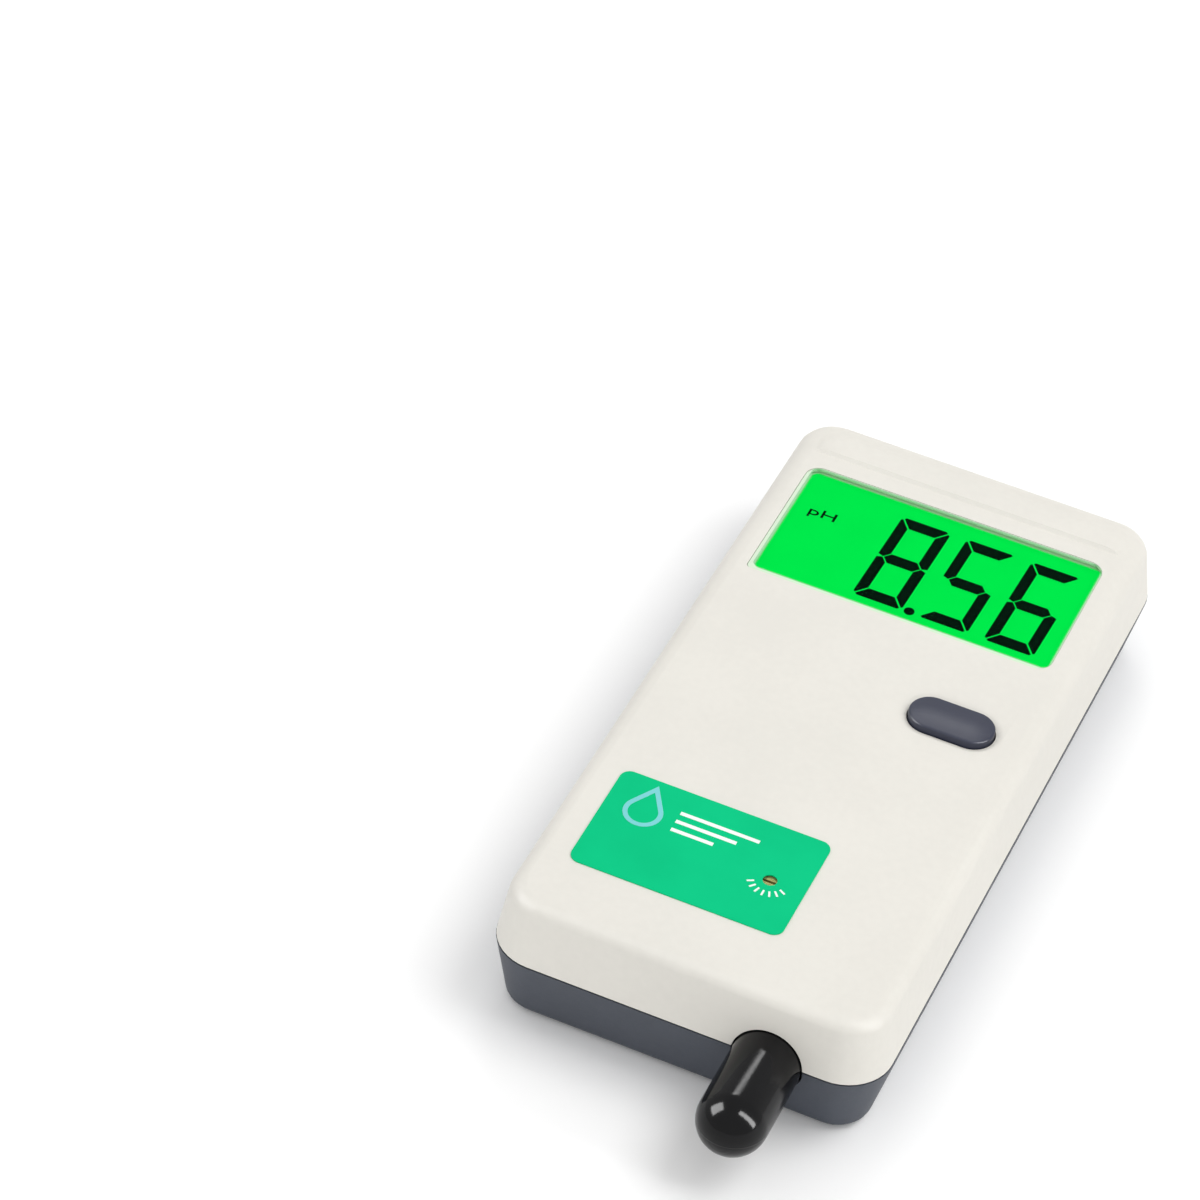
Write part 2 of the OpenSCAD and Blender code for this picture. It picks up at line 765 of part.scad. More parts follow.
module circuit_board() {
    color([0.07, 0.36, 0.20]) translate([0, 0, pcb_z]) linear_extrude(pcb_t) difference() {
        translate([-board_half, board_front]) square([2 * board_half, board_rear - board_front]);
        for (sx = [-1, 1], y = board_screw_ys)
            translate([sx * board_screw_x, y]) circle(board_screw_r + 0.3);
    }
}

// Sets its children on the board at a share of its half width and of its free length
module on_board(across, along) {
    translate([across * board_half, board_front + along * board_span, pcb_top]) children();
}

// Chip body with legs along its two long sides
module chip(w, d, legs, pitch) {
    translate([-w / 2, -d / 2, 0.3]) cube([w, d, chip_h]);
    for (s = [-1, 1], i = [0:legs - 1])
        translate([(i - (legs - 1) / 2) * pitch - chip_leg_w / 2, s * (d / 2 + 0.3) - chip_leg_l / 2, 0])
            cube([chip_leg_w, chip_leg_l, 0.3 + chip_h / 2]);
}

module main_chip() {
    color([0.09, 0.09, 0.1]) on_board(-0.24, 0.575) chip(main_chip_w, main_chip_d, 14, main_chip_pitch);
}

module amplifier_chip() {
    color([0.09, 0.09, 0.1]) on_board(0.45, 0.27) chip(amplifier_w, amplifier_d, 4, amplifier_pitch);
}

module capacitors() {
    color([0.20, 0.24, 0.42]) for (p = [[-0.75, 0.27], [-0.75, 0.37], [0.75, 0.37]]) on_board(p[0], p[1]) {
        cylinder(r = can_r, h = 0.8 * can_h);
        cylinder(r = 0.92 * can_r, h = 0.92 * can_h);
        translate([0, 0, 0.9 * can_h]) cylinder(r = can_r, h = 0.1 * can_h);
    }
}

module resistors() {
    color([0.14, 0.14, 0.15]) for (i = [0:3], along = [0.315, 0.36])
        on_board(-0.5, along) translate([resistor_pitch * i, 0, 0])
            cube([resistor_w, resistor_d, resistor_h]);
}

module crystal() {
    color([0.78, 0.79, 0.80]) on_board(0.48, 0.43) linear_extrude(crystal_h) stadium(crystal_w, crystal_d);
}

module board_screws() {
    color([0.70, 0.70, 0.72]) at_board_screws() translate([0, 0, pcb_z]) difference() {
        union() {
            translate([0, 0, -1.3]) cylinder(r = 1.9, h = 1.3);
            translate([0, 0, -0.1]) cylinder(r = board_screw_r, h = pcb_t + 3.6);
        }
        for (a = [0, 90]) rotate(a) translate([-1.1, -0.22, -1.4]) cube([2.2, 0.44, 0.8]);
    }
}

// Probe jack and its cap

module jack_body() {
    color([0.80, 0.80, 0.82]) {
        turned([[barrel_bore_r, mouth_y], [barrel_r, mouth_y], [barrel_r, jack_face_y],
            [flange_r, jack_face_y], [flange_r, well_y - fit], [neck_r, well_y - fit],
            [neck_r, neck_end_y], [neck_bore_r, neck_end_y], [neck_bore_r, barrel_floor_y],
            [barrel_bore_r, barrel_floor_y]]);
        for (s = [-1, 1]) translate([jack_x, mouth_y + lug_inset, jack_z])
            rotate([0, 90 * s, 0]) translate([0, 0, barrel_bore_r + 0.3])
                cylinder(r = lug_r, h = lug_tip_r - barrel_bore_r - 0.3);
    }
}

module jack_insulator() {
    color([0.93, 0.92, 0.88])
        turned([[contact_r + fit, contact_y + 0.2], [insulator_r, contact_y + 0.2],
            [insulator_r, barrel_floor_y], [neck_bore_r - fit, barrel_floor_y],
            [neck_bore_r - fit, neck_end_y], [contact_r + fit, neck_end_y]]);
}

module jack_contact() {
    color([0.86, 0.70, 0.36])
        turned([[contact_bore_r, contact_y], [contact_r, contact_y], [contact_r, contact_end_y],
            [0, contact_end_y], [0, contact_y + contact_bore_l],
            [contact_bore_r, contact_y + contact_bore_l]]);
}

// Solder tag clamped between the seat ring and the nut
module ground_tag() {
    color([0.82, 0.78, 0.62]) translate([jack_x, seat_y, jack_z]) rotate([-90, 0, 0])
        linear_extrude(tag_t) difference() {
            union() {
                circle(neck_r + 1.9);
                translate([tag_x - jack_x - 1.2, -1.6]) square([jack_x - tag_x, 3.2]);
            }
            circle(neck_r + fit);
        }
}

module jack_nut() {
    color([0.78, 0.79, 0.81]) translate([jack_x, seat_y + tag_t, jack_z]) rotate([-90, 0, 0]) difference() {
        rotate(30) cylinder(r = nut_r, h = nut_t, $fn = 6);
        translate([0, 0, -1]) cylinder(r = neck_r + fit, h = nut_t + 2);
    }
}

// Insulated lead that runs back along Y from y0 and turns up to the board
module lead(x, y0) {
    translate([x, 0, jack_z]) {
        bar_y(lead_r, y0, lead_end_y);
        translate([0, lead_end_y, lead_bend]) rotate([0, 90, 0])
            rotate_extrude(angle = 90) translate([lead_bend, 0]) circle(lead_r);
        translate([0, lead_end_y + lead_bend, lead_bend])
            cylinder(r = lead_r, h = pcb_z - jack_z - lead_bend);
    }
}

module signal_lead() {
    color([0.75, 0.12, 0.10]) lead(jack_x, contact_end_y);
}

module shield_lead() {
    color([0.10, 0.10, 0.10]) lead(tag_x, seat_y + tag_t);
}

// Round-ended rubber cap, tight at its closed end and wider over the bayonet lugs
module dust_cap() {
    inner_r = grip_r - 0.2;
    color([0.05, 0.05, 0.055]) difference() {
        turned(concat([[0, cap_rim_y], [cap_r - 0.3, cap_rim_y], [cap_r, cap_rim_y - 0.3]],
            [for (a = [0:9:90]) [cap_r * cos(a), cap_end_y + cap_r - cap_r * sin(a)]]));
        turned(concat([[0, cap_rim_y + 1], [cap_bore_r, cap_rim_y + 1], [cap_bore_r, grip_y],
            [grip_r, grip_y]],
            [for (a = [0:9:90]) [grip_r * cos(a), cap_end_y + cap_end_t + grip_r - grip_r * sin(a)]]));
    }
}

// Battery

module battery_cells() {
    nub_r = 1.8;
    nub_l = 1;
    color([0.15, 0.42, 0.30]) for (i = [0:cells - 1]) {
        flip = i % 2 == 0 ? 1 : -1;
        translate([cell_x(i), (bay_front + bay_rear) / 2, cell_z]) rotate([-90 * flip, 0, 0]) {
            translate([0, 0, -cell_l / 2]) cylinder(r = cell_r, h = cell_l - nub_l);
            translate([0, 0, cell_l / 2 - nub_l - 0.1]) cylinder(r = nub_r, h = nub_l + 0.1);
        }
    }
}

// Bowed leaf springs at both ends of the bay, the outer two at the front with a tail to the board
module battery_contacts() {
    chord = 7.4;
    rise = contact_depth - contact_t - 0.25;
    bow_r = (chord * chord / 4 + rise * rise) / (2 * rise);
    color([0.83, 0.83, 0.80]) for (i = [0:cells - 1], s = [-1, 1])
        translate([cell_x(i), s < 0 ? bay_front : bay_rear, cell_z - contact_h / 2])
            scale_y(s) {
                translate([-4.4, 0, 0]) cube([8.8, contact_t, contact_h]);
                linear_extrude(contact_h) intersection() {
                    translate([0, contact_t + rise - bow_r]) difference() {
                        circle(bow_r);
                        circle(bow_r - contact_t);
                    }
                    translate([-case_w, contact_t / 2]) square([2 * case_w, contact_depth]);
                }
                if (s < 0 && (i == 0 || i == cells - 1))
                    translate([-tail_w / 2, 0, contact_h - 0.1])
                        cube([tail_w, contact_t, pcb_z - cell_z - contact_h / 2 + 0.1]);
            }
}

// Turns its children to face the middle of the bay
module scale_y(s) {
    if (s > 0) mirror([0, 1, 0]) children();
    else children();
}

top_shell();
bottom_shell();
battery_door();
lcd_window();
lcd_frame();
lcd_glass();
lcd_segments();
backlight();
zebra_strips();
button_cap();
switch_body();
switch_plunger();
label();
label_emblem();
label_rules();
trimmer_body();
trimmer_screw();
circuit_board();
main_chip();
amplifier_chip();
capacitors();
resistors();
crystal();
jack_body();
jack_insulator();
jack_contact();
ground_tag();
jack_nut();
signal_lead();
shield_lead();
dust_cap();
battery_cells();
battery_contacts();
case_screws();
board_screws();
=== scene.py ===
import itertools
import logging
import math
from dataclasses import dataclass
from enum import Enum
from functools import lru_cache
from typing import Iterable, Optional, Sequence, Union

import bmesh
import bpy
from mathutils import Matrix, Quaternion, Vector


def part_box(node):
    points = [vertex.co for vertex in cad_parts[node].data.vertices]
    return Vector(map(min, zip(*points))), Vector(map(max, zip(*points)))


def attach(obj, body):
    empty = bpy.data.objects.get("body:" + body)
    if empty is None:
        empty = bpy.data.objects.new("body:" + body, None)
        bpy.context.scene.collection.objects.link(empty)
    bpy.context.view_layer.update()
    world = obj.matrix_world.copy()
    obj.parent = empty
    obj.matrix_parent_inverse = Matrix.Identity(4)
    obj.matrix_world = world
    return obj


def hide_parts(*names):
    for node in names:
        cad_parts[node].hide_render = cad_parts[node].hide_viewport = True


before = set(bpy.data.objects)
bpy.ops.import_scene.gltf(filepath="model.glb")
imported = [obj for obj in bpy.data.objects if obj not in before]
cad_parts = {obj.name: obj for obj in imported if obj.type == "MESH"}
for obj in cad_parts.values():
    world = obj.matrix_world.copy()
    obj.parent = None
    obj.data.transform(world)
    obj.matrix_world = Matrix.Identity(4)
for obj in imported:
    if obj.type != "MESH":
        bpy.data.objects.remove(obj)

Colour = tuple[float, float, float]
Number = Union[float, "Value"]
Entry = Union[float, bpy.types.NodeSocket]
Outline = list[tuple[float, float]]
MM = 0.001
PER_METRE = 1000.0
LOG = logging.getLogger("ph_meter")


# Shader networks


class Value:
    """One output of a material's network, which adds, multiplies and compares like a number."""

    def __init__(self, net: "Network", socket: bpy.types.NodeSocket) -> None:
        """Keeps the output and the network that it belongs to."""
        self.net = net
        self.socket = socket

    def _math(self, operation: str, *others: Number, swap: bool = False) -> "Value":
        """Joins this value and the others with a Math node.

        Args:
            operation: the Math node's operation.
            others: the further operands.
            swap: True puts the first of the others before this value.

        Returns:
            The node's result.
        """
        operands = [others[0], self, *others[1:]] if swap else [self, *others]
        return self.net.node("ShaderNodeMath", dict(enumerate(operands)), operation=operation)

    def __add__(self, other: Number) -> "Value":
        """Returns the sum."""
        return self._math("ADD", other)

    __radd__ = __add__

    def __mul__(self, other: Number) -> "Value":
        """Returns the product."""
        return self._math("MULTIPLY", other)

    __rmul__ = __mul__

    def __sub__(self, other: Number) -> "Value":
        """Returns this value less the other."""
        return self._math("SUBTRACT", other)

    def __rsub__(self, other: Number) -> "Value":
        """Returns the other value less this one."""
        return self._math("SUBTRACT", other, swap=True)

    def __truediv__(self, other: Number) -> "Value":
        """Returns the quotient."""
        return self._math("DIVIDE", other)

    def __gt__(self, other: Number) -> "Value":
        """Returns 1 where this value is the greater, and 0 elsewhere."""
        return self._math("GREATER_THAN", other)

    def __abs__(self) -> "Value":
        """Returns the value without its sign."""
        return self._math("ABSOLUTE")

    def __mod__(self, other: Number) -> "Value":
        """Returns what is left after whole steps of the other, never below 0."""
        return self._math("FLOORED_MODULO", other)

    def ramp(self, low: float, high: float) -> "Value":
        """Returns 0 below low, 1 above high, and a smooth rise between them."""
        inputs = {0: self, 1: low, 2: high, 3: 0.0, 4: 1.0}
        return self.net.node("ShaderNodeMapRange", inputs, interpolation_type="SMOOTHSTEP")


class Network:
    """One material and its nodes, with a Principled shader that the finishes dress."""

    def __init__(self, name: str, **constants: object) -> None:
        """Makes the material.

        Args:
            name: the material's name.
            constants: values of the shader that are the same all over, with spaces written as underscores.
        """
        self.material = bpy.data.materials.new(name)
        self.material.use_nodes = True
        self.tree = self.material.node_tree
        self.tree.nodes.clear()
        fixed = {key.replace("_", " "): value for key, value in constants.items()}
        self.shader = self.made("ShaderNodeBsdfPrincipled", fixed)
        self.made("ShaderNodeOutputMaterial", {"Surface": Value(self, self.shader.outputs[0])})
        self.place = self.node("ShaderNodeTexCoord", {}, out="Object")

    def feed(self, node: bpy.types.Node, key: Union[int, str], value: object) -> None:
        """Sets an input of a node to a constant, or links a value to it.

        Args:
            node: the node.
            key: the input's name or number.
            value: a Value, a colour of three parts, or any other constant.
        """
        socket = node.inputs[key]
        if isinstance(value, Value):
            self.tree.links.new(value.socket, socket)
        elif isinstance(value, tuple) and len(value) == 3 and socket.type == "RGBA":
            socket.default_value = (*value, 1.0)
        else:
            socket.default_value = value

    def made(self, kind: str, inputs: dict, **settings: object) -> bpy.types.Node:
        """Adds any node.

        Args:
            kind: the node's type.
            inputs: its inputs by name or number.
            settings: the node's own properties, which are set first.

        Returns:
            The node.
        """
        node = self.tree.nodes.new(kind)
        for key, value in settings.items():
            setattr(node, key, value)
        for key, value in inputs.items():
            self.feed(node, key, value)
        return node

    def node(self, kind: str, inputs: dict, out: Union[int, str] = 0, **settings: object) -> Value:
        """Adds a node as made does, and returns one of its outputs, by name or number."""
        return Value(self, self.made(kind, inputs, **settings).outputs[out])

    def axis(self, name: str) -> Value:
        """Returns the piece's X, Y or Z in millimetres."""
        return self.node("ShaderNodeSeparateXYZ", {0: self.place}, out=name) * PER_METRE

    def noise(self, size_mm: float, detail: float = 3.0, stretch: Colour = (1.0, 1.0, 1.0)) -> Value:
        """Returns noise from 0 to 1.

        Args:
            size_mm: the size of its patches.
            detail: the number of finer layers.
            stretch: how many times closer it lies along X, Y and Z.

        Returns:
            The noise value.
        """
        spot = self.node("ShaderNodeMapping", {"Vector": self.place, "Scale": stretch})
        inputs = {"Vector": spot, "Scale": PER_METRE / size_mm, "Detail": detail}
        return self.node("ShaderNodeTexNoise", inputs)

    def mix(self, factor: Number, first: Union[Colour, Value], second: Union[Colour, Value]) -> Value:
        """Returns the first colour where the factor is 0, and the second where it is 1."""
        return self.node("ShaderNodeMix", {0: factor, 6: first, 7: second}, out=2, data_type="RGBA")

    def bump(self, height: Value, depth_mm: float) -> None:
        """Raises the surface by the height, from 0 to 1, times the depth."""
        relief = self.node("ShaderNodeBump", {"Height": height, "Distance": depth_mm * MM, "Strength": 1.0})
        self.feed(self.shader, "Normal", relief)

    def paint(self, **values: Value) -> bpy.types.Material:
        """Feeds the shader's varying inputs.

        Args:
            values: the inputs, with spaces written as underscores.

        Returns:
            The material.
        """
        for key, value in values.items():
            self.feed(self.shader, key.replace("_", " "), value)
        return self.material


def shade(colour: Colour, by: float) -> Colour:
    """Returns a colour made lighter or darker by a factor."""
    return tuple(min(1.0, c * by) for c in colour)


def srgb(red: int, green: int, blue: int) -> Colour:
    """Returns a screen colour from 0 to 255 as the linear values that a shader takes."""
    levels = [part / 255 for part in (red, green, blue)]
    return tuple(level / 12.92 if level <= 0.04 else ((level + 0.055) / 1.055) ** 2.4 for level in levels)


# Finishes


class Tooling(Enum):
    """How the mould of a plastic piece was finished: grain size and depth in millimetres, and roughness."""

    SPARKED = (0.32, 0.011, 0.54)
    SATIN = (0.22, 0.005, 0.34)
    POLISHED = (0.8, 0.0015, 0.12)


@dataclass(frozen=True)
class Moulded:
    """Moulded plastic with the grain of its mould and a slight drift of tone."""

    name: str
    colour: Colour
    tooling: Tooling = Tooling.SATIN
    drift: float = 0.05

    def material(self) -> bpy.types.Material:
        """Makes the material.

        Returns:
            The finished material.
        """
        size, depth, rough = self.tooling.value
        net = Network(self.name, IOR=1.5, Specular_IOR_Level=0.42)
        grain = net.noise(size, 2.0)
        cloud = net.noise(26.0)
        speck = net.noise(1.6, 1.0)
        net.bump(grain, depth)
        tone = (cloud * 0.7 + speck * 0.3).ramp(0.3, 0.7)
        dull, bright = shade(self.colour, 1 - self.drift), shade(self.colour, 1 + self.drift / 3)
        return net.paint(
            Base_Color=net.mix(tone, dull, bright),
            Roughness=rough + (cloud - 0.5) * 0.12 + (grain - 0.5) * 0.1,
        )


@dataclass(frozen=True)
class Rubber:
    """Smooth black rubber with a moulding seam on both sides of the cap and a little dust.

    The seam's height is in millimetres, as are the half widths at which it starts and ends.
    """

    name: str
    colour: Colour
    axis_z: float
    seam: tuple[float, float] = (0.03, 0.16)

    def material(self) -> bpy.types.Material:
        """Makes the material.

        Returns:
            The finished material.
        """
        net = Network(self.name, IOR=1.5, Specular_IOR_Level=0.2)
        haze = net.noise(7.0)
        fine = net.noise(0.5, 2.0)
        seam = 1.0 - abs(net.axis("Z") - self.axis_z).ramp(*self.seam)
        net.bump(fine * 0.15 + seam * 0.8, 0.03)
        return net.paint(
            Base_Color=net.mix(haze.ramp(0.35, 0.75), self.colour, shade(self.colour, 1.7)),
            Roughness=0.08 + haze * 0.08 + fine * 0.04,
        )


@dataclass(frozen=True)
class Metal:
    """Plated or turned metal with fine tool marks across one axis."""

    name: str
    colour: Colour
    rough: float = 0.25
    marks: Colour = (1.0, 1.0, 1.0)

    def material(self) -> bpy.types.Material:
        """Makes the material.

        Returns:
            The finished material.
        """
        net = Network(self.name, Metallic=1.0)
        mark = net.noise(1.2, 4.0, self.marks)
        stain = net.noise(5.0)
        net.bump(mark, 0.006)
        return net.paint(
            Base_Color=net.mix(stain.ramp(0.3, 0.8), self.colour, shade(self.colour, 0.8)),
            Roughness=self.rough + (mark - 0.5) * 0.2 + (stain - 0.5) * 0.1,
        )


@dataclass(frozen=True)
class Clear:
    """Clear moulded window with a narrow pale border, which is wider at the left and near sides; the border's
    pale colour is painted glow of the backlight bleeding at the window's edges.

    The clear field's low and high corners and the border's measures are in millimetres.
    """

    name: str
    tint: Colour
    bleed_glow: Colour
    low: tuple[float, float]
    high: tuple[float, float]
    cover: float
    bleed_glow_cover: float = 0.9
    wide: float = 0.8
    narrow: float = 0.25
    fade: float = 0.35
    corner: tuple[float, float] = (0.5, 1.2)

    def material(self) -> bpy.types.Material:
        """Makes the material.

        Returns:
            The finished material.
        """
        net = Network(self.name, IOR=1.49, Specular_IOR_Level=0.02)
        x, y = net.axis("X"), net.axis("Y")
        haze = net.noise(14.0)
        across = ((x - self.low[0]) - self.wide, (self.high[0] - x) - self.narrow)
        along = ((y - self.low[1]) - self.wide, (self.high[1] - y) - self.narrow)
        sides = [side.ramp(-self.fade, self.fade) for side in (*across, *along)]
        clear = sides[0] * sides[1] * sides[2] * sides[3]
        for side, end in itertools.product(across, along):
            clear = clear * (side + end).ramp(*self.corner)
        net.bump(net.noise(6.0, 1.0), 0.002)
        # painted glow: the pale, nearly opaque border stands in for backlight bleeding at the window's edges,
        # and the clear field shows the tint
        return net.paint(
            Base_Color=net.mix(clear, self.bleed_glow, self.tint),
            Roughness=0.05 + haze * 0.05 + (1.0 - clear) * 0.3,
            Alpha=self.cover + (1.0 - clear) * (self.bleed_glow_cover - self.cover),
        )


@dataclass(frozen=True)
class Lit:
    """Display glass lit from behind, a little dimmer towards its edges."""

    name: str
    colour: Colour
    glow: float
    centre: tuple[float, float]
    half: tuple[float, float]

    def material(self) -> bpy.types.Material:
        """Makes the material.

        Returns:
            The finished material.
        """
        net = Network(self.name, Emission_Strength=self.glow, Specular_IOR_Level=0.0, Roughness=0.3)
        x = abs(net.axis("X") - self.centre[0]) / self.half[0]
        y = abs(net.axis("Y") - self.centre[1]) / self.half[1]
        edge = x.ramp(0.9, 1.05) * 0.5 + y.ramp(0.86, 1.05) * 0.5
        cloud = net.noise(9.0, 2.0)
        tone = edge * 0.75 + cloud.ramp(0.3, 0.8) * 0.14
        return net.paint(
            Base_Color=net.mix(tone, shade(self.colour, 0.06), shade(self.colour, 0.04)),
            Emission_Color=net.mix(tone, self.colour, shade(self.colour, 0.8)),
        )


@dataclass(frozen=True)
class Film:
    """Printed plastic film: an even ink with the fine weave of the screen, and a satin varnish."""

    name: str
    colour: Colour
    rough: float = 0.42
    weave: float = 0.4

    def material(self) -> bpy.types.Material:
        """Makes the material.

        Returns:
            The finished material.
        """
        net = Network(self.name, IOR=1.5, Specular_IOR_Level=0.03)
        half = self.weave / 2
        threads = [abs(net.axis(axis) % self.weave - half) for axis in "XY"]
        screen = threads[0] * threads[1] * (1 / half**2)
        ink = net.noise(11.0)
        net.bump(screen * 0.5 + net.noise(0.3, 1.0) * 0.5, 0.003)
        return net.paint(
            Base_Color=net.mix(ink.ramp(0.3, 0.75), self.colour, shade(self.colour, 0.93)),
            Roughness=self.rough + (ink - 0.5) * 0.14,
        )


@dataclass(frozen=True)
class Printed:
    """Black segments of the display, which are flat and don't shine."""

    name: str
    colour: Colour

    def material(self) -> bpy.types.Material:
        """Makes the material.

        Returns:
            The finished material.
        """
        net = Network(self.name, Specular_IOR_Level=0.0)
        grain = net.noise(0.8)
        return net.paint(
            Base_Color=net.mix(grain, self.colour, shade(self.colour, 1.6)),
            Roughness=0.45 + grain * 0.2,
        )


@dataclass(frozen=True)
class Laminate:
    """Circuit board: green varnish over glass cloth, with the faint lines of the copper under it."""

    name: str
    colour: Colour
    weave: float = 0.8
    patch: float = 90.0
    tracks: float = 14.0

    def material(self) -> bpy.types.Material:
        """Makes the material.

        Returns:
            The finished material.
        """
        net = Network(self.name, IOR=1.5, Coat_Weight=0.3, Coat_Roughness=0.15)
        half = self.weave / 2
        cloth = abs(net.axis("X") % self.weave - half) + abs(net.axis("Y") % self.weave - half)
        inputs = {"Vector": net.place, "Scale": self.patch}
        bend = net.node("ShaderNodeTexVoronoi", inputs, distance="CHEBYCHEV")
        track = 1.0 - abs((bend * self.tracks) % 1.0 - 0.5).ramp(0.12, 0.2)
        net.bump(track * 0.6 + cloth * 0.2, 0.03)
        return net.paint(
            Base_Color=net.mix(track, self.colour, shade(self.colour, 1.9)),
            Roughness=0.3 + cloth * 0.12,
        )


@dataclass(frozen=True)
class Stripes:
    """Conductive rubber strip: fine dark layers between pink ones."""

    name: str
    colour: Colour
    dark: Colour
    pitch_mm: float

    def material(self) -> bpy.types.Material:
        """Makes the material.

        Returns:
            The finished material.
        """
        net = Network(self.name, IOR=1.45, Specular_IOR_Level=0.3)
        layer = (net.axis("X") % self.pitch_mm).ramp(self.pitch_mm * 0.4, self.pitch_mm * 0.55)
        return net.paint(
            Base_Color=net.mix(layer, self.colour, self.dark),
            Roughness=0.55 + net.noise(2.0) * 0.2,
        )


@dataclass(frozen=True)
class Sleeve:
    """Printed sleeve of a cell: a dark body, a coppery band at one end and a thin pale line between them."""

    name: str
    body: Colour
    band: Colour
    line_y: float
    line: Colour = (0.8, 0.8, 0.76)
    line_edge: tuple[float, float] = (0.25, 0.35)

    def material(self) -> bpy.types.Material:
        """Makes the material.

        Returns:
            The finished material.
        """
        net = Network(self.name, IOR=1.5, Specular_IOR_Level=0.5)
        along = net.axis("Y") - self.line_y
        line = 1.0 - abs(along).ramp(*self.line_edge)
        wear = net.noise(4.0)
        body = net.mix(along > 0.0, self.body, self.band)
        net.bump(net.noise(1.0), 0.004)
        return net.paint(
            Base_Color=net.mix(line, body, self.line),
            Metallic=(along > 0.0) * 0.8,
            Roughness=0.24 + wear * 0.16,
        )


Finish = Union[Moulded, Rubber, Metal, Clear, Lit, Film, Printed, Laminate, Stripes, Sleeve]


@lru_cache(maxsize=None)
def painted(finish: Finish) -> bpy.types.Material:
    """Returns the material of a finish, which is made once however many pieces share it."""
    return finish.material()


# Meshes


def copied(node: str, soften: float = 32.0) -> bpy.types.Object:
    """Copies a CAD node as one joined mesh with smooth rounds and crisp edges.

    Args:
        node: the CAD node's name.
        soften: the angle in degrees below which two faces shade as one surface.

    Returns:
        The new object, at the origin.
    """
    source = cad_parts[node].data
    mesh = bpy.data.meshes.new(node + "_piece")
    mesh.from_pydata([v.co for v in source.vertices], [], [p.vertices[:] for p in source.polygons])
    work = bmesh.new()
    work.from_mesh(mesh)
    bmesh.ops.remove_doubles(work, verts=work.verts, dist=3e-6)
    bmesh.ops.dissolve_degenerate(work, edges=work.edges, dist=1e-6)
    work.to_mesh(mesh)
    work.free()
    return shown(mesh, soften)


def shown(mesh: bpy.types.Mesh, soften: float) -> bpy.types.Object:
    """Puts a mesh in the scene.

    Args:
        mesh: the mesh.
        soften: the angle in degrees below which two faces shade as one surface.

    Returns:
        The new object, whose normals are weighted by the areas of its faces.
    """
    mesh.shade_smooth()
    mesh.set_sharp_from_angle(angle=math.radians(soften))
    piece = bpy.data.objects.new(mesh.name, mesh)
    bpy.context.scene.collection.objects.link(piece)
    even = piece.modifiers.new("even", "WEIGHTED_NORMAL")
    even.keep_sharp = True
    return baked(piece)


def baked(piece: bpy.types.Object) -> bpy.types.Object:
    """Turns a piece and its modifiers into a plain mesh.

    Args:
        piece: the piece, which loses its modifiers.

    Returns:
        The piece.
    """
    graph = bpy.context.evaluated_depsgraph_get()
    whole = piece.evaluated_get(graph)
    mesh = bpy.data.meshes.new_from_object(whole, preserve_all_data_layers=True, depsgraph=graph)
    piece.modifiers.clear()
    piece.data = mesh
    return piece


def dress(piece: bpy.types.Object, *finishes: Finish) -> bpy.types.Object:
    """Gives a piece or CAD node its materials.

    Args:
        piece: the piece or node.
        finishes: the finishes, in the order of its slots.

    Returns:
        The piece or node.
    """
    piece.data.materials.clear()
    for finish in finishes:
        piece.data.materials.append(painted(finish))
    return piece


def formed(work: bmesh.types.BMesh, name: str, soften: float) -> bpy.types.Object:
    """Turns faces that were built by hand into a piece, and frees them.

    Args:
        work: the faces, which enclose a volume.
        name: the piece's name.
        soften: the angle in degrees below which two faces shade as one surface.

    Returns:
        The new object, with its faces pointing outwards.
    """
    bmesh.ops.recalc_face_normals(work, faces=work.faces)
    mesh = bpy.data.meshes.new(name)
    work.to_mesh(mesh)
    work.free()
    return shown(mesh, soften)


def settle(piece: bpy.types.Object, body: str, nodes: Sequence[str] = ()) -> bpy.types.Object:
    """Sets a finished piece on its body.

    Args:
        piece: the piece.
        body: the CAD body that carries it.
        nodes: the CAD nodes that it stands for.

    Returns:
        The piece.
    """
    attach(piece, body)
    if nodes:
        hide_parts(*nodes)
    LOG.info("%s rides on %s, %d faces", piece.name, body, len(piece.data.polygons))
    return piece


def keep(node: str, finish: Finish) -> None:
    """Leaves a CAD node as it is and gives it a better material."""
    dress(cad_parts[node], finish)
    LOG.info("%s is the CAD node in %s", node, finish.name)


def remake(node: str, body: str, finish: Finish, soften: float = 32.0) -> bpy.types.Object:
    """Stands a smoothed copy in for a CAD node.

    Args:
        node: the CAD node's name.
        body: the CAD body that carries it.
        finish: its finish.
        soften: the angle in degrees below which two faces shade as one surface.

    Returns:
        The copy.
    """
    return settle(dress(copied(node, soften), finish), body, [node])


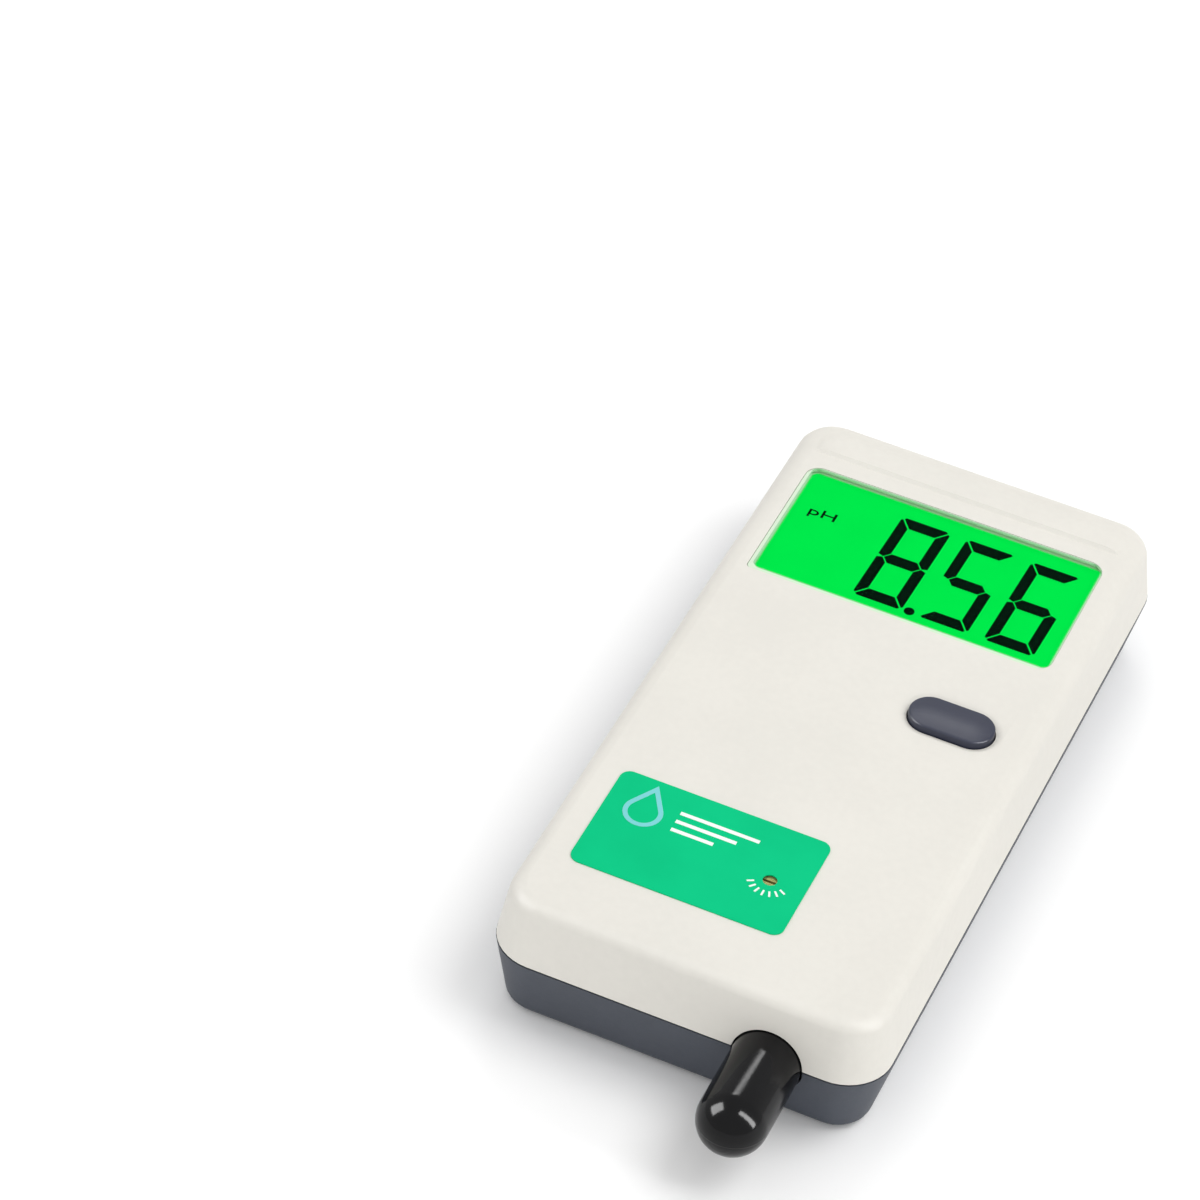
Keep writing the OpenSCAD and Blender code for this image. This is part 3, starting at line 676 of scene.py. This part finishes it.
class Recipe:
    """A Geometry Nodes tree with named sizes, which ends in Realize Instances and Set Material."""

    def __init__(self, name: str) -> None:
        """Starts an empty tree with a geometry input and output.

        Args:
            name: the tree's name.
        """
        self.tree = bpy.data.node_groups.new(name, "GeometryNodeTree")
        self.tree.interface.new_socket("Places", in_out="INPUT", socket_type="NodeSocketGeometry")
        self.tree.interface.new_socket("Geometry", in_out="OUTPUT", socket_type="NodeSocketGeometry")
        self.start = self.tree.nodes.new("NodeGroupInput")
        self.values: dict[str, float] = {}

    def size(self, name: str, value: float) -> bpy.types.NodeSocket:
        """Adds a named size.

        Args:
            name: the size's name.
            value: the size in metres.

        Returns:
            The socket that gives it.
        """
        item = self.tree.interface.new_socket(name, in_out="INPUT", socket_type="NodeSocketFloat")
        self.values[item.identifier] = value
        return self.start.outputs[name]

    def add(
        self, kind: str, inputs: dict, out: Union[int, str] = 0, **settings: object
    ) -> bpy.types.NodeSocket:
        """Adds a node and returns one of its outputs.

        Args:
            kind: the node's type.
            inputs: its inputs by name or number, each a constant or a socket, or a list of sockets to join.
            out: the output that is wanted.
            settings: the node's own properties.

        Returns:
            The wanted output.
        """
        made = self.tree.nodes.new(kind)
        for key, value in settings.items():
            setattr(made, key, value)
        for key, value in inputs.items():
            for one in value if isinstance(value, list) else [value]:
                if isinstance(one, bpy.types.NodeSocket):
                    self.tree.links.new(one, made.inputs[key])
                else:
                    made.inputs[key].default_value = one
        return made.outputs[out]

    def maths(self, operation: str, *operands: Entry) -> bpy.types.NodeSocket:
        """Returns the result of a Math node."""
        return self.add("ShaderNodeMath", dict(enumerate(operands)), operation=operation)

    def vector(self, x: Entry = 0.0, y: Entry = 0.0, z: Entry = 0.0) -> bpy.types.NodeSocket:
        """Returns three numbers or sockets as one vector."""
        return self.add("ShaderNodeCombineXYZ", {0: x, 1: y, 2: z})

    def times(self, size: bpy.types.NodeSocket, by: float) -> bpy.types.NodeSocket:
        """Returns a size made larger or smaller by a factor."""
        return self.maths("MULTIPLY", size, by)

    def moved(self, geometry: bpy.types.NodeSocket, rise: bpy.types.NodeSocket) -> bpy.types.NodeSocket:
        """Returns the geometry moved up by a size."""
        return self.add("GeometryNodeTransform", {"Geometry": geometry, "Translation": self.vector(z=rise)})

    def marked(self, geometry: bpy.types.NodeSocket, mark: str) -> bpy.types.NodeSocket:
        """Returns the geometry with a named mark on its faces, by which it gets its finish."""
        inputs = {"Geometry": geometry, "Name": mark, "Value": True}
        return self.add("GeometryNodeStoreNamedAttribute", inputs, data_type="BOOLEAN", domain="FACE")

    def coated(self, geometry: bpy.types.NodeSocket, finish: Finish, mark: str = "") -> bpy.types.NodeSocket:
        """Sets a finish on a geometry.

        Args:
            geometry: the geometry.
            finish: the finish.
            mark: the mark on the faces that take it, or none for all of them.

        Returns:
            The finished geometry.
        """
        inputs = {"Geometry": geometry, "Material": painted(finish)}
        if mark:
            named = self.add("GeometryNodeInputNamedAttribute", {"Name": mark}, data_type="BOOLEAN")
            inputs["Selection"] = named
        return self.add("GeometryNodeSetMaterial", inputs)

    def grow(
        self,
        piece_name: str,
        places: Sequence[Vector],
        one: bpy.types.NodeSocket,
        coats: Sequence[tuple[Finish, str]],
        turns: Optional[bpy.types.NodeSocket] = None,
    ) -> bpy.types.Object:
        """Sets one geometry at each place, gives the whole its finishes and bakes it.

        Args:
            piece_name: the new object's name.
            places: where the geometry stands, in metres.
            one: the geometry that is repeated.
            coats: the finishes in their order, each with the mark that takes it, or none for all of it.
            turns: a rotation for each place, or None.

        Returns:
            The baked object, at the origin.
        """
        inputs = {"Points": self.start.outputs["Places"], "Instance": one}
        if turns is not None:
            inputs["Rotation"] = turns
        made = self.add("GeometryNodeInstanceOnPoints", inputs)
        whole = self.add("GeometryNodeRealizeInstances", {"Geometry": made})
        for finish, mark in coats:
            whole = self.coated(whole, finish, mark)
        end = self.tree.nodes.new("NodeGroupOutput")
        self.tree.links.new(whole, end.inputs["Geometry"])
        mesh = bpy.data.meshes.new(piece_name)
        mesh.from_pydata(list(places), [], [])
        piece = bpy.data.objects.new(piece_name, mesh)
        modifier = piece.modifiers.new(piece_name, "NODES")
        modifier.node_group = self.tree
        for identifier, value in self.values.items():
            modifier[identifier] = value
        bpy.context.scene.collection.objects.link(piece)
        piece = baked(piece)
        for _, mark in coats:
            if mark:
                piece.data.attributes.remove(piece.data.attributes[mark])
        piece.data.shade_smooth()
        piece.data.set_sharp_from_angle(angle=math.radians(38))
        return piece


def middle(node: str) -> Vector:
    """Returns the middle of a CAD node's box, in metres."""
    low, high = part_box(node)
    return (low + high) / 2


# Finishes of this object


CREAM = Moulded("cream_case", (0.708, 0.687, 0.633), Tooling.SPARKED, 0.035)
CHARCOAL = Moulded("charcoal_case", (0.051, 0.059, 0.077), Tooling.SPARKED, 0.12)
SLATE = Moulded("slate_button", (0.027, 0.031, 0.056), Tooling.SATIN, 0.06)
BLACK = Moulded("matt_black_plastic", (0.012, 0.012, 0.013), Tooling.SATIN, 0.2)
IVORY = Moulded("ivory_switch_plastic", (0.66, 0.62, 0.52), Tooling.SATIN)
BLUE = Moulded("blue_trimmer_case", (0.03, 0.09, 0.42), Tooling.SATIN)
DIFFUSER = Moulded("light_diffuser", (0.62, 0.85, 0.66), Tooling.SATIN)
PTFE = Moulded("turned_white_insulator", (0.82, 0.81, 0.77), Tooling.POLISHED)
CERAMIC = Moulded("ceramic_body", (0.018, 0.018, 0.020), Tooling.SPARKED, 0.25)
RED_SLEEVE = Moulded("red_lead_sleeve", (0.50, 0.015, 0.010), Tooling.POLISHED)
BLACK_SLEEVE = Moulded("black_lead_sleeve", (0.010, 0.010, 0.010), Tooling.POLISHED)
INK = Printed("display_ink", (0.001, 0.004, 0.002))
STEEL = Metal("zinc_steel", (0.62, 0.62, 0.63), 0.3)
NICKEL = Metal("nickel_plate", (0.66, 0.63, 0.58), 0.2, (0.3, 12.0, 0.3))
GOLD = Metal("gold_plate", (0.90, 0.62, 0.24), 0.16, (0.3, 9.0, 0.3))
TIN = Metal("tinned_contact_brass", (0.70, 0.66, 0.52), 0.34)
BRASS = Metal("brass_screw", (0.31, 0.30, 0.12), 0.5, (5.0, 1.0, 1.0))
CAN = Metal("aluminium_can", (0.56, 0.57, 0.60), 0.3, (1.0, 1.0, 6.0))
BOARD = Laminate("board_varnish", (0.010, 0.085, 0.032))
ZEBRA = Stripes("striped_rubber", (0.72, 0.25, 0.30), (0.03, 0.02, 0.03), 0.18)


@dataclass
class Case:
    """The two shells and the battery door."""

    round_angle: float = 34.0

    def build(self) -> None:
        """Smooths and paints the shells, and the door on its own body."""
        remake("top_shell", "case", CREAM, self.round_angle)
        remake("bottom_shell", "case", CHARCOAL, self.round_angle)
        remake("battery_door", "door", CHARCOAL, self.round_angle)


@dataclass
class Display:
    """The window, the glass with its segments and unit sign, and what holds and lights them."""

    glass: Colour = srgb(0, 230, 73)
    glow: float = 0.97
    sign_at: tuple[float, float] = (-23.0, 47.1)
    sign_width: float = 5.3
    sign_height: float = 2.9
    sign_depth: float = 0.09
    window_lip: float = 1.9
    tint: Colour = (0.05, 0.5, 0.2)
    # painted glow: the pale colour of the window's border stands in for backlight bleeding at its edges
    bleed_glow: Colour = srgb(214, 230, 208)
    cover: float = 0.004
    digits: tuple[str, ...] = ("abcdefg", "acdfg", "acdefg")
    digit_width: float = 9.8
    digit_height: float = 24.3
    digit_pitch: float = 13.0
    stroke: float = 2.1
    bar: float = 2.6
    gap: float = 0.26
    corner: float = 0.63
    lean: float = 0.03
    point_radius: float = 1.0
    point_at: tuple[float, float] = (-7.02, -11.75)
    point_steps: int = 32

    def sign(self) -> bpy.types.Object:
        """Builds the unit sign beside the digits.

        Returns:
            The sign, as a thin piece on the glass.
        """
        curve = bpy.data.curves.new("unit_sign_curve", "FONT")
        curve.body = "pH"
        curve.align_x, curve.align_y = "CENTER", "CENTER"
        curve.extrude = 0.5
        source = bpy.data.objects.new("unit_sign_curve", curve)
        bpy.context.scene.collection.objects.link(source)
        graph = bpy.context.evaluated_depsgraph_get()
        mesh = bpy.data.meshes.new_from_object(source.evaluated_get(graph))
        bpy.data.objects.remove(source)
        low = Vector([min(v.co[i] for v in mesh.vertices) for i in range(3)])
        high = Vector([max(v.co[i] for v in mesh.vertices) for i in range(3)])
        size = Vector((self.sign_width, self.sign_height, self.sign_depth)) * MM
        glass_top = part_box("lcd_segments")[0].z
        at = Vector((self.sign_at[0] * MM, self.sign_at[1] * MM, glass_top + size.z / 2))
        for v in mesh.vertices:
            shares = [(v.co[i] - low[i]) / (high[i] - low[i]) - 0.5 for i in range(3)]
            v.co = Vector([at[i] + shares[i] * size[i] for i in range(3)])
        mesh.name = "unit_sign"
        work = bmesh.new()
        work.from_mesh(mesh)
        bmesh.ops.remove_doubles(work, verts=work.verts, dist=1e-6)
        bmesh.ops.recalc_face_normals(work, faces=work.faces)
        work.to_mesh(mesh)
        work.free()
        return shown(mesh, 30.0)

    def bars(self) -> dict[str, Outline]:
        """Works out the seven bars of a digit, mitred at their ends.

        Returns:
            The outline of each bar by its letter, in millimetres about the digit's middle.
        """
        side, end, gap = self.digit_width / 2, self.digit_height / 2, self.gap
        stroke, bar, corner = self.stroke, self.bar, self.corner
        top = [(side - corner - gap, end), (side - corner / 2 - gap, end - corner / 2)]
        top += [(side - stroke - gap, end - bar)]
        top += [(-x, y) for x, y in reversed(top)]
        right = [(side, end - corner - gap), (side - corner / 2, end - corner / 2 - gap)]
        right += [(side - stroke, end - bar - gap), (side - stroke, bar / 2 + gap / 2)]
        right += [(side - stroke / 2, gap / 2), (side, bar * 0.2)]
        across = [(side - stroke / 2 - gap, 0.0), (side - stroke - gap, bar / 2)]
        across += [(stroke + gap - side, bar / 2)]
        across += [(-x, -y) for x, y in across]
        return {
            "a": top,
            "b": right,
            "c": [(x, -y) for x, y in right],
            "d": [(x, -y) for x, y in top],
            "e": [(-x, -y) for x, y in right],
            "f": [(-x, y) for x, y in right],
            "g": across,
        }

    def segments(self) -> bpy.types.Object:
        """Builds the digits and the decimal point as thin prisms.

        Returns:
            All of them as one piece on the glass.
        """
        low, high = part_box("lcd_segments")
        centre = (low + high) / 2
        shapes = self.bars()
        work = bmesh.new()
        for index, lit in enumerate(self.digits):
            shift = (index - 1) * self.digit_pitch
            for letter in lit:
                outline = [(x + shift + self.lean * y, y) for x, y in shapes[letter]]
                self.prism(work, outline, centre, low.z, high.z)
        (x, y), radius = self.point_at, self.point_radius
        turns = [math.tau * step / self.point_steps for step in range(self.point_steps)]
        outline = [(x + radius * math.cos(turn), y + radius * math.sin(turn)) for turn in turns]
        self.prism(work, outline, centre, low.z, high.z)
        return formed(work, "display_segments", 30.0)

    @staticmethod
    def prism(work: bmesh.types.BMesh, outline: Outline, centre: Vector, bottom: float, top: float) -> None:
        """Adds a flat outline as a closed prism.

        Args:
            work: the faces that it is added to.
            outline: its points in millimetres about the centre.
            centre: the centre in metres.
            bottom: the height of its lower face in metres.
            top: the height of its upper face in metres.
        """
        rings = []
        for height in (bottom, top):
            rings.append([work.verts.new((centre.x + x * MM, centre.y + y * MM, height)) for x, y in outline])
        work.faces.new(rings[0])
        work.faces.new(rings[1])
        for i, (a, b) in enumerate(zip(*rings)):
            after = (i + 1) % len(outline)
            work.faces.new((a, rings[0][after], rings[1][after], b))

    def build(self) -> None:
        """Builds the sign and the digits, and paints the stack from the window down."""
        low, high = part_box("lcd_glass")
        centre, half = (low + high) / 2 / MM, (high - low) / 2 / MM
        lit = Lit("lit_display", self.glass, self.glow, (centre.x, centre.y), (half.x, half.y))
        window_low, window_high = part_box("lcd_window")
        lip = Vector((self.window_lip, self.window_lip, 0.0))
        low, high = window_low / MM + lip, window_high / MM - lip
        sides = low.xy.to_tuple(), high.xy.to_tuple()
        keep("lcd_window", Clear("window_plastic", self.tint, self.bleed_glow, *sides, self.cover))
        keep("lcd_glass", lit)
        settle(dress(self.segments(), INK), "case", ["lcd_segments"])
        keep("lcd_frame", BLACK)
        keep("backlight", DIFFUSER)
        keep("zebra_strips", ZEBRA)
        settle(dress(self.sign(), INK), "case")


@dataclass
class Button:
    """The button's softly crowned cap, its switch and the switch's plunger."""

    width: float = 16.3
    depth: float = 8.4
    flange: float = 1.0
    flange_height: float = 1.11
    shoulder: float = 0.75
    fillet: float = 0.45
    stem_radius: float = 2.2
    stem_length: float = 0.404
    stem_overlap: float = 0.3
    flat_half: float = 0.15
    corner_steps: int = 22
    fillet_steps: int = 6
    crown_steps: int = 8

    def ring(
        self, work: bmesh.types.BMesh, centre: Vector, size: tuple[float, float], height: float
    ) -> list[bmesh.types.BMVert]:
        """Adds the points of an outline with round ends.

        Args:
            work: the faces that they are added to.
            centre: the outline's centre in metres.
            size: its length along X and its width, in millimetres.
            height: its height in millimetres.

        Returns:
            The points in their order.
        """
        radius = size[1] / 2
        straight = size[0] / 2 - radius
        points = []
        for side in (1, -1):
            for step in range(self.corner_steps + 1):
                turn = math.pi * (step / self.corner_steps - 0.5)
                x = side * (straight + radius * math.cos(turn))
                y = side * radius * math.sin(turn)
                points.append(work.verts.new((centre.x + x * MM, centre.y + y * MM, height * MM)))
        return points

    @staticmethod
    def skin(work: bmesh.types.BMesh, rings: list[list[bmesh.types.BMVert]]) -> None:
        """Joins rings of points into a closed form, with a face at each end.

        Args:
            work: the faces that the form is added to.
            rings: the rings, with as many points each.
        """
        work.faces.new(rings[0])
        work.faces.new(rings[-1])
        for lower, upper in zip(rings, rings[1:]):
            for i in range(len(lower)):
                after = (i + 1) % len(lower)
                work.faces.new((lower[i], lower[after], upper[after], upper[i]))

    def cap(self) -> bpy.types.Object:
        """Builds the cap with its flange and stem.

        Returns:
            The cap as one piece.
        """
        low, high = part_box("button_cap")
        centre, top = (low + high) / 2, high.z / MM
        flange_low = low.z / MM + self.stem_length
        flange_high = flange_low + self.flange_height
        edge = top - self.shoulder + self.fillet
        profile = [(-self.flange, flange_low), (-self.flange, flange_high), (0.0, flange_high)]
        profile.append((0.0, edge - self.fillet * 1.6))
        for step in range(self.fillet_steps + 1):
            turn = math.pi / 2 * step / self.fillet_steps
            profile.append((self.fillet * (1 - math.cos(turn)), edge - self.fillet * (1 - math.sin(turn))))
        reach = self.depth / 2 - self.flat_half
        for step in range(1, self.crown_steps + 1):
            share = step / self.crown_steps
            rise = (top - edge) * math.sin(share * math.pi / 2)
            profile.append((self.fillet + (reach - self.fillet) * share, edge + rise))
        work = bmesh.new()
        rings = []
        for inset, height in profile:
            size = (self.width - 2 * inset, self.depth - 2 * inset)
            rings.append(self.ring(work, centre, size, height))
        self.skin(work, rings)
        stem = (2 * self.stem_radius + 0.002, 2 * self.stem_radius)
        heights = (low.z / MM, flange_low + self.stem_overlap)
        self.skin(work, [self.ring(work, centre, stem, height) for height in heights])
        return formed(work, "button_piece", 50.0)

    def build(self) -> None:
        """Builds the cap, and smooths and paints the switch."""
        settle(dress(self.cap(), SLATE), "button", ["button_cap"])
        remake("switch_body", "case", BLACK)
        remake("switch_plunger", "button", IVORY)


@dataclass
class Label:
    """The label with its printed droplet, rules and tick scale, and the trimmer behind it."""

    ground: Colour = (0.0, 0.53, 0.215)
    droplet: Colour = (0.20, 0.62, 0.64)
    rules: Colour = (0.85, 0.90, 0.86)

    def build(self) -> None:
        """Smooths and paints the label, its print and the trimmer."""
        remake("label", "case", Film("label_ground", self.ground))
        remake("label_emblem", "case", Film("label_pale_blue", self.droplet))
        keep("label_rules", Film("label_white", self.rules))
        remake("trimmer_body", "case", BLUE)
        remake("trimmer_screw", "trimmer", BRASS)


@dataclass
class Board:
    """The circuit board and what is soldered to it."""

    def build(self) -> None:
        """Paints the board and its parts, and smooths the round ones."""
        keep("circuit_board", BOARD)
        for node in ("main_chip", "amplifier_chip", "resistors"):
            keep(node, CERAMIC)
        remake("capacitors", "case", CAN)
        remake("crystal", "case", STEEL)
        remake("signal_lead", "case", RED_SLEEVE)
        remake("shield_lead", "case", BLACK_SLEEVE)


@dataclass
class Jack:
    """The probe jack and the rubber cap over it."""

    rubber: Colour = (0.003, 0.003, 0.0035)

    def build(self) -> None:
        """Smooths and paints the jack's pieces and the cap."""
        remake("jack_body", "case", NICKEL)
        remake("jack_insulator", "case", PTFE)
        remake("jack_contact", "case", GOLD)
        remake("ground_tag", "case", TIN)
        remake("jack_nut", "case", NICKEL)
        rubber = Rubber("black_rubber", self.rubber, middle("dust_cap").z / MM)
        remake("dust_cap", "cap", rubber, 45.0)


@dataclass
class Cells:
    """Three cells side by side, each turned against the next, and their spring contacts."""

    count: int = 3
    radius: float = 5.25 * MM
    length: float = 43.4 * MM
    nub_radius: float = 1.8 * MM
    nub_length: float = 1.0 * MM
    sleeve_share: float = 0.985
    can_share: float = 0.9
    body: Colour = (0.012, 0.016, 0.022)
    band: Colour = (0.60, 0.26, 0.10)
    band_start: float = 9.0

    def cell(self, recipe: Recipe) -> bpy.types.NodeSocket:
        """Adds one upright cell: its sleeve, and the steel can and nub, which carry a mark.

        Args:
            recipe: the tree that the cell is added to.

        Returns:
            The cell's geometry.
        """
        radius, length = recipe.size("Radius", self.radius), recipe.size("Length", self.length)
        nub, rise = recipe.size("Nub radius", self.nub_radius), recipe.size("Nub length", self.nub_length)
        sleeve = recipe.add(
            "GeometryNodeMeshCylinder",
            {"Vertices": 64, "Radius": radius, "Depth": recipe.times(length, self.sleeve_share)},
        )
        core = recipe.times(radius, self.can_share)
        can = recipe.add("GeometryNodeMeshCylinder", {"Vertices": 64, "Radius": core, "Depth": length})
        sizes = {"Vertices": 40, "Radius": nub, "Depth": recipe.times(rise, 2.0)}
        tip = recipe.moved(recipe.add("GeometryNodeMeshCylinder", sizes), recipe.times(length, 0.5))
        parts = [sleeve, recipe.marked(can, "bare"), recipe.marked(tip, "bare")]
        whole = recipe.add("GeometryNodeJoinGeometry", {"Geometry": parts})
        return recipe.moved(whole, recipe.times(rise, -0.5))

    def row(self) -> bpy.types.Object:
        """Sets the cells out in a row with a tree.

        Returns:
            The cells as one piece.
        """
        low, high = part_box("battery_cells")
        pitch = (high.x - low.x - 2 * self.radius) / (self.count - 1)
        centre = (low + high) / 2
        places = [Vector((low.x + self.radius + i * pitch, centre.y, centre.z)) for i in range(self.count)]
        recipe = Recipe("cell_row")
        cell = self.cell(recipe)
        odd = recipe.maths("FLOORED_MODULO", recipe.add("GeometryNodeInputIndex", {}), 2.0)
        tilt = recipe.maths("MULTIPLY_ADD", odd, math.pi, -math.pi / 2)
        sleeve = Sleeve("cell_sleeve", self.body, self.band, centre.y / MM + self.band_start)
        return recipe.grow("cell_row", places, cell, [(sleeve, ""), (STEEL, "bare")], recipe.vector(x=tilt))

    def build(self) -> None:
        """Builds the cells and paints their contacts."""
        settle(self.row(), "case", ["battery_cells"])
        keep("battery_contacts", TIN)


@dataclass
class Screws:
    """One kind of screw at its four places, driven from below, with its sizes in metres."""

    node: str
    head_radius: float
    head_height: float
    shank_radius: float
    pitch: float
    ridge: float
    threaded_share: float = 0.86
    thread_start: float = 0.08
    head_taper: float = 0.82
    recess_reach: float = 1.15
    recess_width: float = 0.22

    def places(self) -> list[Vector]:
        """Works out where the screws stand.

        Returns:
            The points where the four heads meet their shanks, in metres.
        """
        low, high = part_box(self.node)
        height = low.z + self.head_height
        xs = (low.x + self.head_radius, high.x - self.head_radius)
        ys = (low.y + self.head_radius, high.y - self.head_radius)
        return [Vector((x, y, height)) for x in xs for y in ys]

    def shank(self, recipe: Recipe, length: bpy.types.NodeSocket) -> list[bpy.types.NodeSocket]:
        """Adds the core, which stands on the head, and the thread wound round it.

        Args:
            recipe: the tree that they are added to.
            length: the shank's length.

        Returns:
            Both geometries.
        """
        radius = recipe.size("Shank radius", self.shank_radius)
        pitch = recipe.size("Thread pitch", self.pitch)
        ridge = recipe.size("Thread depth", self.ridge)
        core_radius = recipe.maths("SUBTRACT", radius, ridge)
        sizes = {"Vertices": 32, "Radius": core_radius, "Depth": length}
        core = recipe.moved(recipe.add("GeometryNodeMeshCylinder", sizes), recipe.times(length, 0.5))
        height = recipe.times(length, self.threaded_share)
        turns = recipe.maths("DIVIDE", height, pitch)
        radii = {"Start Radius": core_radius, "End Radius": core_radius}
        spiral = recipe.add(
            "GeometryNodeCurveSpiral", {"Resolution": 20, "Rotations": turns, **radii, "Height": height}
        )
        blade = recipe.add("GeometryNodeCurvePrimitiveCircle", {"Resolution": 4, "Radius": ridge})
        inputs = {"Curve": spiral, "Profile Curve": blade, "Fill Caps": True}
        thread = recipe.add("GeometryNodeCurveToMesh", inputs)
        return [core, recipe.moved(thread, recipe.times(length, self.thread_start))]

    def head(self, recipe: Recipe) -> bpy.types.NodeSocket:
        """Adds the head with its cross recess, below the place of the screw.

        Args:
            recipe: the tree that the head is added to.

        Returns:
            The head's geometry.
        """
        radius = recipe.size("Head radius", self.head_radius)
        height = recipe.size("Head height", self.head_height)
        drop = recipe.times(height, -1.0)
        tapered = recipe.times(radius, self.head_taper)
        sizes = {"Radius Top": radius, "Radius Bottom": tapered, "Depth": height}
        disc = recipe.moved(recipe.add("GeometryNodeMeshCone", {"Vertices": 48, **sizes}), drop)
        arm, slot = recipe.times(radius, self.recess_reach), recipe.times(radius, self.recess_width)
        cuts = []
        for size in ((arm, slot, height), (slot, arm, height)):
            bar = recipe.add("GeometryNodeMeshCube", {"Size": recipe.vector(*size)})
            cuts.append(recipe.moved(bar, drop))
        return recipe.add("GeometryNodeMeshBoolean", {"Mesh 1": disc, "Mesh 2": cuts}, operation="DIFFERENCE")

    def build(self) -> None:
        """Builds the four screws with a tapered head, a cross recess and a thread."""
        low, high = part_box(self.node)
        recipe = Recipe(self.node + "_recipe")
        length = recipe.size("Length", high.z - low.z - self.head_height)
        parts = [self.head(recipe), *self.shank(recipe, length)]
        screw = recipe.add("GeometryNodeJoinGeometry", {"Geometry": parts})
        piece = recipe.grow(self.node + "_piece", self.places(), screw, [(STEEL, "")])
        settle(piece, "case", [self.node])


class Shine(Enum):
    """What a light does: (it lights matt surfaces, it shows in glossy ones)."""

    FULL = (True, True)
    MATT = (True, False)
    GLOSS = (False, True)


@dataclass(frozen=True)
class Lamp:
    """A rectangular light that faces the object: place and size in metres, and its own turn in degrees."""

    name: str
    at: Colour
    size: tuple[float, float]
    watts: float
    shine: Shine
    turn: float = 0.0

    def hang(self) -> None:
        """Hangs the light in the scene."""
        data = bpy.data.lights.new(self.name, "AREA")
        data.shape, data.size, data.size_y, data.energy = "RECTANGLE", *self.size, self.watts
        lamp = bpy.data.objects.new(self.name, data)
        lamp.location = self.at
        own_turn = Quaternion((0.0, 0.0, 1.0), math.radians(self.turn))
        lamp.rotation_euler = ((-Vector(self.at)).to_track_quat("-Z", "Y") @ own_turn).to_euler()
        lamp.visible_diffuse, lamp.visible_glossy = self.shine.value
        bpy.context.scene.collection.objects.link(lamp)


LAMPS = (
    Lamp("key", (0.5, 0.15, 1.0), (0.6, 0.6), 4.2, Shine.MATT),
    Lamp("front", (0.35, -1.1, 0.4), (0.7, 0.4), 1.4, Shine.MATT),
    Lamp("streak", (-0.15, 0.493, 0.675), (0.27, 0.05), 0.7, Shine.FULL),
    Lamp("left_gloss", (-0.66, -0.30, 0.58), (0.42, 0.6), 14.0, Shine.GLOSS),
    Lamp("right_gloss", (0.72, -0.2, 0.55), (1.1, 0.2), 15.0, Shine.GLOSS, -72.0),
)


@dataclass
class Studio:
    """The floor, the soft lights and the camera, which stands where the photograph was taken from."""

    eye: Colour = (0.17659390, -0.63709673, 0.64638753)
    right: Colour = (0.91220050, 0.40144118, 0.08206839)
    down: Colour = (0.32758322, -0.59419701, -0.73458774)
    ahead: Colour = (-0.24612898, 0.69697553, -0.67353221)
    lens: float = 151.09
    floor_side: float = 6.0
    floor_drop: float = 0.0002
    floor_tones: tuple[Colour, Colour] = ((0.97, 0.97, 0.97), (0.985, 0.985, 0.985))
    sky_strength: float = 0.80

    def camera(self) -> None:
        """Sets the camera at the photograph's place, turn and field of view."""
        data = bpy.data.cameras.new("camera")
        data.sensor_width, data.sensor_fit, data.lens = 36.0, "HORIZONTAL", self.lens
        data.clip_start, data.clip_end = 0.01, 20.0
        eye = bpy.data.objects.new("camera", data)
        turn = Matrix((self.right, [-c for c in self.down], [-c for c in self.ahead])).transposed()
        eye.matrix_world = Matrix.Translation(self.eye) @ turn.to_4x4()
        bpy.context.scene.collection.objects.link(eye)
        bpy.context.scene.camera = eye

    def floor(self) -> None:
        """Lays the pale floor just under the object."""
        half = self.floor_side / 2
        mesh = bpy.data.meshes.new("floor")
        corners = ((-half, -half), (half, -half), (half, half), (-half, half))
        mesh.from_pydata([(x, y, -self.floor_drop) for x, y in corners], [], [(0, 1, 2, 3)])
        ground = bpy.data.objects.new("floor", mesh)
        bpy.context.scene.collection.objects.link(ground)
        net = Network("pale_floor", Specular_IOR_Level=0.1, Roughness=0.8)
        cloud = net.noise(300.0)
        mesh.materials.append(net.paint(Base_Color=net.mix(cloud, *self.floor_tones)))

    def build(self) -> None:
        """Builds the whole studio."""
        self.camera()
        self.floor()
        for lamp in LAMPS:
            lamp.hang()
        world = bpy.data.worlds.new("studio")
        world.use_nodes = True
        sky = world.node_tree.nodes["Background"]
        sky.inputs["Color"].default_value = (1.0, 1.0, 1.0, 1.0)
        sky.inputs["Strength"].default_value = self.sky_strength
        bpy.context.scene.world = world
        bpy.context.scene.view_settings.view_transform = "Standard"


def main() -> None:
    """Builds every sub-assembly in order."""
    logging.basicConfig(level=logging.INFO, format="%(message)s")
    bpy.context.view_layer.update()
    Studio().build()
    sections = (
        Case(),
        Display(),
        Button(),
        Label(),
        Board(),
        Jack(),
        Cells(),
        Screws(
            "case_screws",
            head_radius=2.6 * MM,
            head_height=2.0 * MM,
            shank_radius=1.3 * MM,
            pitch=0.9 * MM,
            ridge=0.16 * MM,
        ),
        Screws(
            "board_screws",
            head_radius=1.9 * MM,
            head_height=1.3 * MM,
            shank_radius=0.8 * MM,
            pitch=0.5 * MM,
            ridge=0.1 * MM,
        ),
    )
    for section in sections:
        section.build()


if __name__ == "__main__":
    main()
